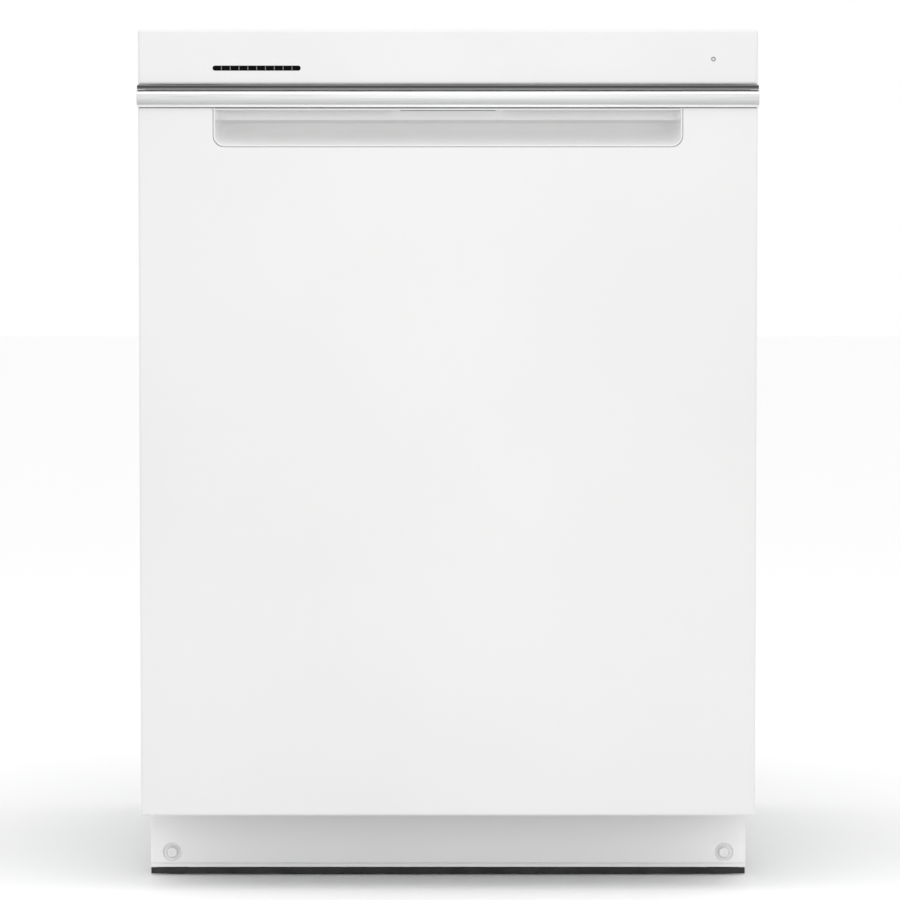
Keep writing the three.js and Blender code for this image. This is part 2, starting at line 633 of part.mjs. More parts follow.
// Lid that slides sideways off the detergent cup.
function dispenserLid() {
  const { rim, thick, grip } = LID;
  const low = DISPENSER.face + GAP;
  return join(
    box([CUP.x[0] - rim, CUP.x[1] + rim], [low, low + thick], [CUP.z[0] - rim, CUP.z[1] + rim]),
    box([CUP.x[0] + 2, CUP.x[0] + 8], [low + thick - 0.1, low + grip], [CUP.z[0] + 12, CUP.z[1] - 12]));
}

function rinseCap() {
  const { radius, thick, grip } = RINSE;
  return join(
    rod('y', radius, [0, thick], [0, 0], 24),
    box([3 - radius, radius - 3], [thick - 0.1, grip], [-2.4, 2.4]));
}

// Flat arm on the liner's side that turns on the frame's pin.
function hingeArm(side) {
  const { front, back, top, eye, sheet } = ARM_STRAP;
  const inner = LINER.half + GAP;
  const x = ordered(side * inner, side * (inner + sheet));
  const strap = box(x, [front, back], [HINGE.z, top]);
  const end = rod('x', eye, x, [HINGE.y, HINGE.z], 20);
  const hole = rod('x', HINGE.hole, ordered(side * (inner - 1), side * (inner + sheet + 1)),
    [HINGE.y, HINGE.z], 16);
  return cut(join(strap, end), hole);
}

// Hooked catch on the inner door's top edge.
function doorLatch() {
  const { half, hook, bottom, top, reach } = CATCH;
  const y = LINER.inner + GAP;
  const low = bottom + 1;
  const neck = bottom + 7;
  const tooth = top - 3.4;
  const shape = outline([[y, low], [y + reach, low], [y + reach, neck], [y + reach - 3, tooth],
    [y + reach - 7, tooth], [y + reach - 7, neck], [y, neck]]);
  return join(alongX(shape, [-hook, hook]), box([-half, half], [y, y + 2], [bottom, top]));
}

// ---------------------------------------------------------------- assembly

add('tub', 'grey', tub());
add('tub_gasket', 'dark', tubGasket());
add('insulation_blanket', 'felt', insulationBlanket());
add('base_tray', 'dark', baseTray());
add('door_strike', 'steel', doorStrike());
add('toe_panel', 'white', toePanel());
add('kick_plate', 'white', kickPlate());
add('toe_seal', 'black', toeSeal());
add('sump', 'dark', sump());
add('circulation_pump', 'dark', circulationPump());
add('drain_pump', 'dark', drainPump());
add('inlet_valve', 'pale', inletValve());
add('junction_box', 'steel', junctionBox());
add('heater_element', 'steel', heaterElement());
add('feed_tube', 'pale', feedTube());
add('filter_cup', 'grey', filterCup());
add('float_dome', 'pale', floatDome(), [FLOAT.x, FLOAT.y, TUB.bottom + TUB.wall + GAP]);
add('lower_spray_arm', 'pale', sprayArm(ARM.reach, ARM.hub), [0, SUMP.y, ARM.bottom]);
add('upper_spray_arm', 'pale', sprayArm(UPPER_ARM.reach, UPPER_ARM.hub), [0, UPPER_ARM.y, UPPER_ARM.bottom]);
add('upper_rack', 'blue', upperRack());
add('lower_rack', 'blue', lowerRack());
add('silverware_basket', 'pale', silverwareBasket());
add('fold_tines', 'blue', foldTines(), [0, TINE.y, LOWER.floor + WIRE / 2 + 3.5]);
add('cup_shelf', 'blue', cupShelf(), [6 - UPPER.half, 0, SHELF.z]);

for (const [name, side] of SIDES) {
  add(`side_frame_${name}`, 'steel', sideFrame(side));
  add(`mounting_bracket_${name}`, 'steel', mountingBracket(), [side * BRACKET.x, FRAME.post, 0]);
  add(`toe_screw_${name}`, 'steel', toeScrew(), [side * SCREW.x, TOE.y + DISH.depth, SCREW.z]);
  add(`rack_rail_${name}`, 'steel', side > 0 ? rackRail() : rackRail().mirror([1, 0, 0]));
  add(`door_spring_${name}`, 'steel', doorSpring(), [side * SPRING.x, 0, 0]);
  add(`hinge_arm_${name}`, 'steel', hingeArm(side));
  for (const [end, y, wheelY] of [['front', FOOT.front, WHEEL.front], ['rear', FOOT.rear, WHEEL.rear]]) {
    const axle = TUB.bottom + TUB.wall + GAP + WHEEL.radius;
    add(`foot_${end}_${name}`, 'dark', foot(), [side * FOOT.x, y, 0]);
    add(`wheel_${end}_${name}`, 'pale', side > 0 ? rackWheel() : rackWheel().mirror([1, 0, 0]),
      [side * WHEEL.x, wheelY, axle]);
  }
}

add('door_panel', 'white', doorPanel());
add('control_fascia', 'white', controlFascia());
add('control_panel', 'pale', controlPanel());
for (const [name, x] of KEY_PLACES) {
  add(`key_${name}`, 'white', key(), [x, (PANEL.front + PANEL.back) / 2, HEIGHT - 0.4 - KEY.thick]);
}
add('vent_grille', 'black', ventGrille());
add('status_lens', 'grey', statusLens());
add('grip_strip', 'satin', gripStrip());
add('handle_pocket', 'white', handlePocket());
add('latch_paddle', 'pale', latchPaddle());
add('door_liner', 'steel', doorLiner());
add('dispenser_body', 'pale', dispenserBody());
add('dispenser_lid', 'white', dispenserLid());
add('rinse_cap', 'blue', rinseCap(), [RINSE.x, DISPENSER.face + GAP, RINSE.z]);
add('door_latch', 'dark', doorLatch());

export default dishwasher;
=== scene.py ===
"""Built-in dishwasher: detailed pieces, finishes, stage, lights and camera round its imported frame."""

import math

import bmesh
import bpy
from bpy.props import FloatProperty, FloatVectorProperty, IntProperty, PointerProperty
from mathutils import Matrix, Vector, noise


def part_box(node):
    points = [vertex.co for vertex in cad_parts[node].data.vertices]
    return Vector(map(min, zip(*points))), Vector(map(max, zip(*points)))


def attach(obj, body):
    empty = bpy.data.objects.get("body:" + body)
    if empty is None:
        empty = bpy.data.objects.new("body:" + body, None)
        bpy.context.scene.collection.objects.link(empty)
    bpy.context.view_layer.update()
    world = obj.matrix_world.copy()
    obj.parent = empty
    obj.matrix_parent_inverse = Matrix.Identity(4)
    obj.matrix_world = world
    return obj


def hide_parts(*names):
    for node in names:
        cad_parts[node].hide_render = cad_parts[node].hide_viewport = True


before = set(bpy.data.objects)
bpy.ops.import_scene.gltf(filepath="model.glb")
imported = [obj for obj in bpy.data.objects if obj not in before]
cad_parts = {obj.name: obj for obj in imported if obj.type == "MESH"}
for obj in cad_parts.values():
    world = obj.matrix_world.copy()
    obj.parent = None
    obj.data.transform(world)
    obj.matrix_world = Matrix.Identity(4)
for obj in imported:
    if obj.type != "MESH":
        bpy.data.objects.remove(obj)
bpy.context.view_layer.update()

bl_info = {
    "name": "Built-in Dishwasher",
    "version": (1, 0, 0),
    "blender": (4, 5, 0),
    "location": "View3D > Sidebar > Dishwasher",
    "description": "Builds the detailed pieces, finishes and stage of a built-in dishwasher",
    "category": "Add Mesh",
}

MM = 0.001
PAST = 10 * MM  # how far a cutting tool reaches past the surface that it cuts
SIDES = (("left", -1), ("right", 1))
ENDS = ("front", "rear")
KEYS = ("start", "cycle", "options")


# ------------------------------------------------------------------ settings


class DishwasherSizes(bpy.types.PropertyGroup):
    """Fine sizes that the frame leaves open."""

    panel_edge: FloatProperty(
        name="Panel edge", description="Radius of the outer door panel's folded edges",
        default=3.2 * MM, unit="LENGTH")
    skin: FloatProperty(
        name="Skin", description="Thickness of the painted steel skin", default=1.2 * MM, unit="LENGTH")
    console_edge: FloatProperty(
        name="Console edge", description="Radius of the console's front edges",
        default=3.4 * MM, unit="LENGTH")
    wire: FloatProperty(
        name="Wire", description="Radius of a coated rack wire", default=1.9 * MM, unit="LENGTH")
    rail_wire: FloatProperty(
        name="Rail wire", description="Radius of a rack's frame wires", default=2.6 * MM, unit="LENGTH")
    quilt: FloatProperty(
        name="Quilting", description="Depth of the hollows in the sound blanket",
        default=3.5 * MM, unit="LENGTH")
    tines: IntProperty(
        name="Tines", description="Number of folding tines across the lower rack", default=14, min=4, max=30)


class DishwasherColours(bpy.types.PropertyGroup):
    """Base colours of the finishes."""

    enamel: FloatVectorProperty(
        name="Enamel", description="Painted outer panels", subtype="COLOR", default=(0.70, 0.70, 0.698))
    moulding: FloatVectorProperty(
        name="White moulding", description="White plastic console and pocket", subtype="COLOR",
        default=(0.70, 0.70, 0.698))
    trim: FloatVectorProperty(
        name="Trim", description="Bright grip strip", subtype="COLOR", default=(0.88, 0.885, 0.885))
    tub: FloatVectorProperty(
        name="Tub", description="Moulded wash tub", subtype="COLOR", default=(0.30, 0.32, 0.34))
    pale: FloatVectorProperty(
        name="Pale moulding", description="Spray arms, basket and wheels", subtype="COLOR",
        default=(0.52, 0.55, 0.57))
    wire: FloatVectorProperty(
        name="Rack coat", description="Nylon coat on the rack wires", subtype="COLOR",
        default=(0.33, 0.40, 0.46))
    blue: FloatVectorProperty(
        name="Blue moulding", description="Parts that the user turns or lifts", subtype="COLOR",
        default=(0.11, 0.22, 0.36))
    felt: FloatVectorProperty(
        name="Felt", description="Sound blanket", subtype="COLOR", default=(0.10, 0.105, 0.11))


def sizes():
    return bpy.context.scene.dishwasher_sizes


def colours():
    return bpy.context.scene.dishwasher_colours


# ------------------------------------------------------------------ modelling helpers


def deselect():
    if bpy.context.mode != "OBJECT":
        bpy.ops.object.mode_set(mode="OBJECT")
    bpy.ops.object.select_all(action="DESELECT")


def activate(piece):
    deselect()
    piece.select_set(True)
    bpy.context.view_layer.objects.active = piece


def pick(piece, kind, test):
    """Enter edit mode with only the faces, edges or verts selected that pass the test."""
    activate(piece)
    bpy.ops.object.mode_set(mode="EDIT")
    modes = {"faces": "FACE", "edges": "EDGE", "verts": "VERT"}
    bpy.ops.mesh.select_mode(type=modes[kind])
    bpy.ops.mesh.select_all(action="DESELECT")
    mesh = bmesh.from_edit_mesh(piece.data)
    for item in getattr(mesh, kind):
        if test(item):
            item.select_set(True)
    bmesh.update_edit_mesh(piece.data)


def leave_edit():
    bpy.ops.object.mode_set(mode="OBJECT")


def in_mm(*points):
    """Profile points given in millimetres."""
    return [tuple(value * MM for value in point) for point in points]


def near(value, target):
    return abs(value - target) < 2e-5


def on_plane(axis, place):
    """Test for edges that lie on a plane square to an axis."""
    return lambda edge: all(near(vertex.co[axis], place) for vertex in edge.verts)


def facing(axis, sign, place=None):
    """Test for faces that look along one axis, and that lie at a place on it if one is given."""
    def test(face):
        looks = face.normal[axis] * sign > 0.999
        return looks and (place is None or near(face.calc_center_median()[axis], place))
    return test


def either(*tests):
    return lambda item: any(test(item) for test in tests)


def press(piece, test, axis, steps):
    """Draw a flat face in steps of (inset, rise), keeping its corners round."""
    pick(piece, "faces", test)
    for inset, rise in steps:
        mesh = bmesh.from_edit_mesh(piece.data)
        points = [vertex.co for vertex in mesh.verts if vertex.select]
        low = Vector([min(point[i] for point in points) for i in range(3)])
        high = Vector([max(point[i] for point in points) for i in range(3)])
        factors = [1.0 if i == axis else 1 - 2 * inset / (high[i] - low[i]) for i in range(3)]
        shift = [rise if i == axis else 0.0 for i in range(3)]
        bpy.ops.mesh.extrude_region()
        bpy.ops.transform.resize(value=factors, center_override=(low + high) / 2)
        bpy.ops.transform.translate(value=shift)
    leave_edit()


def along(axis, *places):
    """Test for edges that run along an axis, and that pass the given (axis, place) limits."""
    def test(edge):
        a, b = (vertex.co for vertex in edge.verts)
        run = abs((b - a).normalized()[axis]) > 0.9
        return run and all(near(a[i], at) and near(b[i], at) for i, at in places)
    return test


def bevel_edges(piece, test, radius, steps=4):
    pick(piece, "edges", test)
    bpy.ops.mesh.bevel(offset=radius, segments=steps, affect="EDGES")
    leave_edit()


def delete_faces(piece, test):
    pick(piece, "faces", test)
    bpy.ops.mesh.delete(type="FACE")
    leave_edit()


def divide(piece, axis, cuts):
    """Cut every edge that runs along an axis into equal lengths."""
    pick(piece, "edges", along(axis))
    bpy.ops.mesh.subdivide(number_cuts=cuts)
    leave_edit()


def reshape(piece, move):
    """Move every point of a mesh by a formula."""
    for vertex in piece.data.vertices:
        vertex.co = move(vertex.co.copy())
    piece.data.update()


def modify(piece, kind, **settings):
    activate(piece)
    modifier = piece.modifiers.new(kind.title(), kind)
    for key, value in settings.items():
        setattr(modifier, key, value)
    bpy.ops.object.modifier_apply(modifier=modifier.name)
    return piece


def thicken(piece, wall, even=True):
    """Give an open shell a wall on its inner side."""
    return modify(piece, "SOLIDIFY", thickness=wall, offset=-1, use_even_offset=even)


def face_outwards(piece, merge=0.0):
    """Turn every normal outwards, after merging doubles if a distance is given."""
    activate(piece)
    bpy.ops.object.mode_set(mode="EDIT")
    bpy.ops.mesh.select_all(action="SELECT")
    if merge:
        bpy.ops.mesh.remove_doubles(threshold=merge)
    bpy.ops.mesh.normals_make_consistent(inside=False)
    leave_edit()


def face_up(sheet):
    """Turn an open sheet so that its highest face looks up."""
    top_face = max(sheet.data.polygons, key=lambda face: face.center.z)
    if top_face.normal.z < 0:
        sheet.data.flip_normals()


def sheet_of(columns, rows, place):
    """Grid of faces whose points, which run from -1 to 1 both ways, are moved by a formula."""
    deselect()
    bpy.ops.mesh.primitive_grid_add(x_subdivisions=columns, y_subdivisions=rows, size=2)
    sheet = bpy.context.object
    reshape(sheet, place)
    return sheet


def hexagon(radius, depth, centre, rotation=(0, 0, 0)):
    deselect()
    bpy.ops.mesh.primitive_cylinder_add(vertices=6, radius=radius, depth=depth, location=centre,
                                        rotation=rotation)
    bpy.ops.object.transform_apply(location=True, rotation=True, scale=True)
    return bpy.context.object


def block(low, high):
    low, high = Vector(low), Vector(high)
    deselect()
    bpy.ops.mesh.primitive_cube_add(size=1, location=(low + high) / 2, scale=high - low)
    bpy.ops.object.transform_apply(location=True, rotation=True, scale=True)
    return bpy.context.object


def soft_block(low, high, radius, steps=3):
    return modify(block(low, high), "BEVEL", width=radius, segments=steps, limit_method="NONE")


def turned(rings, centre=(0, 0, 0), axis="Z", sides=48, closed=False):
    """Profile of (radius, height) points spun round an axis. It starts and ends on it, unless closed."""
    deselect()
    bpy.ops.mesh.primitive_circle_add(vertices=len(rings), radius=1)
    piece = bpy.context.object
    for vertex, (radius, height) in zip(piece.data.vertices, rings):
        vertex.co = (radius, 0, height)
    if not closed:
        last = len(rings) - 1
        pick(piece, "edges", lambda edge: {v.index for v in edge.verts} == {0, last})
        bpy.ops.mesh.delete(type="EDGE")
    activate(piece)
    bpy.ops.object.mode_set(mode="EDIT")
    bpy.ops.mesh.select_all(action="SELECT")
    bpy.ops.mesh.spin(steps=sides, angle=math.tau, center=(0, 0, 0), axis=(0, 0, 1))
    bpy.ops.mesh.select_all(action="SELECT")
    bpy.ops.mesh.remove_doubles(threshold=1e-6)
    bpy.ops.mesh.dissolve_degenerate(threshold=1e-7)
    bpy.ops.mesh.normals_make_consistent(inside=False)
    leave_edit()
    turns = {"X": (0, math.pi / 2, 0), "Y": (-math.pi / 2, 0, 0), "Z": (0, 0, 0)}
    piece.rotation_euler = turns[axis]
    piece.location = centre
    bpy.ops.object.transform_apply(location=True, rotation=True, scale=True)
    return piece


def disc(radius, low, high, centre, axis="Z", edge=0.0006, sides=32):
    """Round bar or disc with softened rims, from one height to another along its axis."""
    rings = [(0, low), (radius - edge, low), (radius, low + edge), (radius, high - edge),
             (radius - edge, high), (0, high)]
    return turned(rings, centre, axis, sides)


def stud(rings, place, side, sides=20):
    """Head of a rivet or a screw that looks out to the left or to the right."""
    return turned([(radius, height * side) for radius, height in rings], place, "X", sides)


def circle(centre, radius, z, count, start=0.0):
    """Points round an upright axis. The start is in steps from one point to the next."""
    angles = [math.tau * (i + start) / count for i in range(count)]
    return [Vector((centre[0] + radius * math.cos(angle), centre[1] + radius * math.sin(angle), z))
            for angle in angles]


def bent(corners, radius, steps=4, loop=False):
    """Points of a path whose corners are rounded."""
    corners = [Vector(corner) for corner in corners]
    count = len(corners)
    points = []
    for i, corner in enumerate(corners):
        if not loop and i in (0, count - 1):
            points.append(corner)
            continue
        back, on = corners[i - 1] - corner, corners[(i + 1) % count] - corner
        half = back.angle(on) / 2
        if half > math.radians(89.5):
            points.append(corner)
            continue
        reach = min(radius / math.tan(half), back.length / 2, on.length / 2)
        inward = (back.normalized() + on.normalized()).normalized()
        centre = corner + inward * reach / math.cos(half)
        first = (corner + back.normalized() * reach - centre).normalized()
        last = (corner + on.normalized() * reach - centre).normalized()
        for step in range(steps + 1):
            points.append(centre + first.slerp(last, step / steps) * reach * math.tan(half))
    return points


def straight(start, end):
    """Open path between two points, for wires."""
    return [Vector(start), Vector(end)], False


def curved(corners, radius, steps=4):
    """Open path with rounded corners, for wires."""
    return bent(corners, radius, steps), False


def wires(paths, radius, resolution=2):
    """Round wires along (points, is_a_loop) paths, as one mesh."""
    deselect()
    bpy.ops.curve.primitive_bezier_curve_add(location=(0, 0, 0))
    piece = bpy.context.object
    curve = piece.data
    curve.splines.clear()
    for points, loop in paths:
        spline = curve.splines.new("POLY")
        spline.points.add(len(points) - 1)
        for knot, point in zip(spline.points, points):
            knot.co = (*point, 1)
        spline.use_cyclic_u = loop
    curve.dimensions = "3D"
    curve.fill_mode = "FULL"
    curve.bevel_depth = radius
    curve.bevel_resolution = resolution
    curve.use_fill_caps = True
    bpy.ops.object.convert(target="MESH")
    piece = bpy.context.object
    face_outwards(piece, 1e-6)
    return piece


def join(*pieces):
    deselect()
    for piece in pieces:
        piece.select_set(True)
    bpy.context.view_layer.objects.active = pieces[0]
    bpy.ops.object.join()
    return bpy.context.object


def cut(piece, *tools, operation="DIFFERENCE"):
    """Cut closed tools out of a closed piece, or merge them with it."""
    for tool in tools:
        modify(piece, "BOOLEAN", operation=operation, solver="EXACT", object=tool)
        bpy.data.objects.remove(tool, do_unlink=True)
    return piece


def fit(piece, name, body, finish, replaced=None, angle=35, weighted=True):
    """Name a finished piece, smooth it, give it a finish, and set it on its body."""
    activate(piece)
    bpy.ops.object.shade_smooth_by_angle(angle=math.radians(angle))
    if weighted:
        modify(piece, "WEIGHTED_NORMAL", keep_sharp=True)
    piece.name = name
    piece.data.name = name
    piece.data.materials.clear()
    piece.data.materials.append(finish_material(finish))
    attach(piece, body)
    if replaced:
        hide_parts(replaced)
    return piece


def limits(node):
    low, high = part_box(node)
    return Vector(low), Vector(high)


def spread(start, end, count):
    return [start + (end - start) * i / (count - 1) for i in range(count)]


# ------------------------------------------------------------------ finishes


def new_surface(name, colour, roughness, metallic=0.0, specular=0.5, coat=0.0):
    material = bpy.data.materials.new(name)
    material.use_nodes = True
    shader = material.node_tree.nodes["Principled BSDF"]
    shader.inputs["Base Color"].default_value = (*colour, 1)
    shader.inputs["Roughness"].default_value = roughness
    shader.inputs["Metallic"].default_value = metallic
    shader.inputs["Specular IOR Level"].default_value = specular
    shader.inputs["Coat Weight"].default_value = coat
    shader.inputs["Coat Roughness"].default_value = 0.28
    return material, material.node_tree, shader


def noise_field(tree, scale, stretch=(1, 1, 1), detail=3.0):
    """Noise in object space, with its features stretched along the axes of a small stretch value."""
    nodes, links = tree.nodes, tree.links
    place = nodes.new("ShaderNodeTexCoord")
    mapping = nodes.new("ShaderNodeMapping")
    mapping.inputs["Scale"].default_value = stretch
    field = nodes.new("ShaderNodeTexNoise")
    field.inputs["Scale"].default_value = scale
    field.inputs["Detail"].default_value = detail
    links.new(place.outputs["Object"], mapping.inputs["Vector"])
    links.new(mapping.outputs["Vector"], field.inputs["Vector"])
    return field.outputs["Fac"]


def vary_colour(tree, shader, field, dark, light, low=0.35, high=0.65):
    ramp = tree.nodes.new("ShaderNodeValToRGB")
    ramp.color_ramp.elements[0].position = low
    ramp.color_ramp.elements[0].color = (*dark, 1)
    ramp.color_ramp.elements[1].position = high
    ramp.color_ramp.elements[1].color = (*light, 1)
    tree.links.new(field, ramp.inputs["Fac"])
    tree.links.new(ramp.outputs["Color"], shader.inputs["Base Color"])


def vary_roughness(tree, shader, field, low, high):
    spread_out = tree.nodes.new("ShaderNodeMapRange")
    spread_out.inputs["From Min"].default_value = 0.3
    spread_out.inputs["From Max"].default_value = 0.7
    spread_out.inputs["To Min"].default_value = low
    spread_out.inputs["To Max"].default_value = high
    tree.links.new(field, spread_out.inputs["Value"])
    tree.links.new(spread_out.outputs["Result"], shader.inputs["Roughness"])


def emboss(tree, shader, field, depth, strength=1.0):
    bump = tree.nodes.new("ShaderNodeBump")
    bump.inputs["Distance"].default_value = depth
    bump.inputs["Strength"].default_value = strength
    tree.links.new(field, bump.inputs["Height"])
    tree.links.new(bump.outputs["Normal"], shader.inputs["Normal"])


def paint_shade_by_height(material, low, high, *stops):
    """Paint shade by height: multiply the base colour by greys set at parts of the way from one height to
    another.
    """
    nodes, links = material.node_tree.nodes, material.node_tree.links
    shader = nodes["Principled BSDF"]
    place = nodes.new("ShaderNodeTexCoord")
    split = nodes.new("ShaderNodeSeparateXYZ")
    level = nodes.new("ShaderNodeMapRange")
    level.inputs["From Min"].default_value = low
    level.inputs["From Max"].default_value = high
    ramp = nodes.new("ShaderNodeValToRGB")
    greys = ramp.color_ramp.elements
    while len(greys) < len(stops):
        greys.new(0.5)
    for element, (part, grey) in zip(greys, stops):
        element.position = part
        element.color = (grey, grey, grey, 1)
    product = nodes.new("ShaderNodeMix")
    product.data_type = "RGBA"
    product.blend_type = "MULTIPLY"
    product.inputs["Factor"].default_value = 1.0
    base = shader.inputs["Base Color"].links[0].from_socket
    links.new(place.outputs["Object"], split.inputs["Vector"])
    links.new(split.outputs["Z"], level.inputs["Value"])
    links.new(level.outputs["Result"], ramp.inputs["Fac"])
    links.new(base, product.inputs["A"])
    links.new(ramp.outputs["Color"], product.inputs["B"])
    links.new(product.outputs["Result"], shader.inputs["Base Color"])


def shade(colour, factor):
    return tuple(min(1.0, channel * factor) for channel in colour)


def enamel(name, colour):
    """Baked white enamel: a faint orange peel under a clear gloss."""
    material, tree, shader = new_surface(name, colour, 0.3, specular=0.45, coat=0.5)
    vary_colour(tree, shader, noise_field(tree, 3.0), shade(colour, 0.985), shade(colour, 1.01))
    vary_roughness(tree, shader, noise_field(tree, 5.0), 0.29, 0.32)
    emboss(tree, shader, noise_field(tree, 600.0, detail=1.0), 0.000005, 0.3)
    return material


def moulded(name, colour, roughness=0.42, grain=0.00003, size=1800.0, cloud=0.03):
    """Moulded plastic with a fine spark grain and slight clouding."""
    material, tree, shader = new_surface(name, colour, roughness, specular=0.45)
    vary_colour(tree, shader, noise_field(tree, 14.0), shade(colour, 1 - cloud), shade(colour, 1 + cloud))
    vary_roughness(tree, shader, noise_field(tree, 60.0), roughness - 0.05, roughness + 0.06)
    emboss(tree, shader, noise_field(tree, size, detail=2.0), grain, 0.6)
    return material


def brushed(name, colour, roughness, stretch, depth=0.00001):
    """Metal with a directional brushed grain."""
    material, tree, shader = new_surface(name, colour, roughness, metallic=1.0)
    field = noise_field(tree, 900.0, stretch, detail=4.0)
    vary_colour(tree, shader, field, shade(colour, 0.93), shade(colour, 1.03))
    vary_roughness(tree, shader, field, roughness - 0.07, roughness + 0.08)
    emboss(tree, shader, field, depth, 0.5)
    return material


def zinc_sheet(name, colour):
    """Galvanised sheet: crystal spangles in several greys."""
    material, tree, shader = new_surface(name, colour, 0.42, metallic=0.85)
    nodes, links = tree.nodes, tree.links
    place = nodes.new("ShaderNodeTexCoord")
    cells = nodes.new("ShaderNodeTexVoronoi")
    cells.inputs["Scale"].default_value = 95.0
    links.new(place.outputs["Object"], cells.inputs["Vector"])
    grey = nodes.new("ShaderNodeRGBToBW")
    links.new(cells.outputs["Color"], grey.inputs["Color"])
    vary_colour(tree, shader, grey.outputs["Val"], shade(colour, 0.82), shade(colour, 1.12), 0.1, 0.9)
    vary_roughness(tree, shader, grey.outputs["Val"], 0.34, 0.5)
    emboss(tree, shader, noise_field(tree, 260.0), 0.00003, 0.5)
    return material


def speckled(name, colour):
    """Wash tub moulding: pale and dark flecks in a satin grey."""
    material, tree, shader = new_surface(name, colour, 0.36, specular=0.5)
    vary_colour(tree, shader, noise_field(tree, 750.0, detail=0.5), shade(colour, 0.7),
                shade(colour, 1.4), 0.42, 0.62)
    vary_roughness(tree, shader, noise_field(tree, 30.0), 0.3, 0.42)
    emboss(tree, shader, noise_field(tree, 500.0), 0.00003, 0.4)
    return material


def fibre(name, colour):
    """Needled felt: matted fibres with light and dark tufts."""
    material, tree, shader = new_surface(name, colour, 0.95, specular=0.15)
    shader.inputs["Sheen Weight"].default_value = 0.35
    shader.inputs["Sheen Roughness"].default_value = 0.6
    hairs = noise_field(tree, 520.0, (1.0, 0.5, 0.8), detail=6.0)
    vary_colour(tree, shader, hairs, shade(colour, 0.5), shade(colour, 1.7), 0.34, 0.68)
    emboss(tree, shader, noise_field(tree, 380.0, (1.0, 0.6, 0.9), detail=7.0), 0.0007, 0.8)
    return material


def rubber(name, colour):
    material, tree, shader = new_surface(name, colour, 0.75, specular=0.3)
    vary_colour(tree, shader, noise_field(tree, 30.0), shade(colour, 0.8), shade(colour, 1.3))
    emboss(tree, shader, noise_field(tree, 1400.0), 0.00004, 0.7)
    return material


def heater_sheath():
    """Alloy sheath with a faint heat tint in bands."""
    material, tree, shader = new_surface("heater_sheath", (0.4, 0.38, 0.37), 0.35, metallic=1.0)
    vary_colour(tree, shader, noise_field(tree, 18.0), (0.30, 0.27, 0.25), (0.46, 0.44, 0.43), 0.3, 0.7)
    vary_roughness(tree, shader, noise_field(tree, 300.0), 0.3, 0.5)
    return material


def toe_enamel():
    """The toe's enamel, a lighter copy of the door's enamel, with painted shadow of the door greying it
    towards its top, under the door's foot.
    """
    material = enamel("toe_enamel", shade(colours().enamel, 1.35))
    low, high = limits("toe_panel")
    # Painted shadow: the door's shade, darkest at the toe's top and lightening towards the floor.
    paint_shade_by_height(material, low.z, high.z, (0.0, 1.0), (0.25, 0.98), (0.8, 0.87), (1.0, 0.84))
    return material


def pocket_moulding():
    """The pocket's plastic, a lighter copy of the white moulding, with painted shade greying it under the
    step below its mouth.
    """
    material = moulded("pocket_moulding", shade(colours().moulding, 1.06), 0.4, 0.00002, 900.0, 0.006)
    low, high = limits("handle_pocket")
    # Painted shade: a darker band under the step below the pocket's mouth.
    paint_shade_by_height(material, low.z, high.z, (0.0, 1.04), (0.22, 1.03), (0.40, 0.94), (0.47, 0.90),
                 (0.5, 1.0), (0.72, 1.04))
    return material


def bright_trim():
    """Satin metal with painted shade: darker over its lower half above the lip, standing in for the shaded
    floor that it reflects.
    """
    material = brushed("bright_trim", colours().trim, 0.34, (0.02, 1.0, 1.0), 0.000004)
    low, high = limits("grip_strip")
    # Painted reflection: greys that stand in for the shaded floor seen in the undercut.
    paint_shade_by_height(material, low.z, high.z, (0.0, 0.95), (0.14, 0.95), (0.18, 0.52), (0.33, 0.60),
                 (0.54, 0.74), (0.7, 0.82), (1.0, 0.78))
    return material


def seam_painted_shade():
    """Grey seal with painted shade: a dark band along its upper half, under the console's edge."""
    material = moulded("seam_grey", (0.5, 0.5, 0.505), 0.6)
    strip_high, console_low = limits("grip_strip")[1], limits("control_fascia")[0]
    # Painted shade: the dark band stands in for the shadow in the gap under the console; no groove is
    # modelled.
    paint_shade_by_height(material, strip_high.z - 0.9 * MM, console_low.z - 0.2 * MM, (0.0, 1.0), (0.22, 0.8),
                 (0.34, 0.2), (0.46, 0.13), (0.56, 0.05), (0.68, 0.05), (0.78, 0.28), (1.0, 0.4))
    return material


def vent_black():
    """Dull black behind the vent's dividers."""
    material = moulded("black_grille", (0.004, 0.004, 0.0045), 0.8)
    shader = material.node_tree.nodes["Principled BSDF"]
    shader.inputs["Specular IOR Level"].default_value = 0.08
    return material


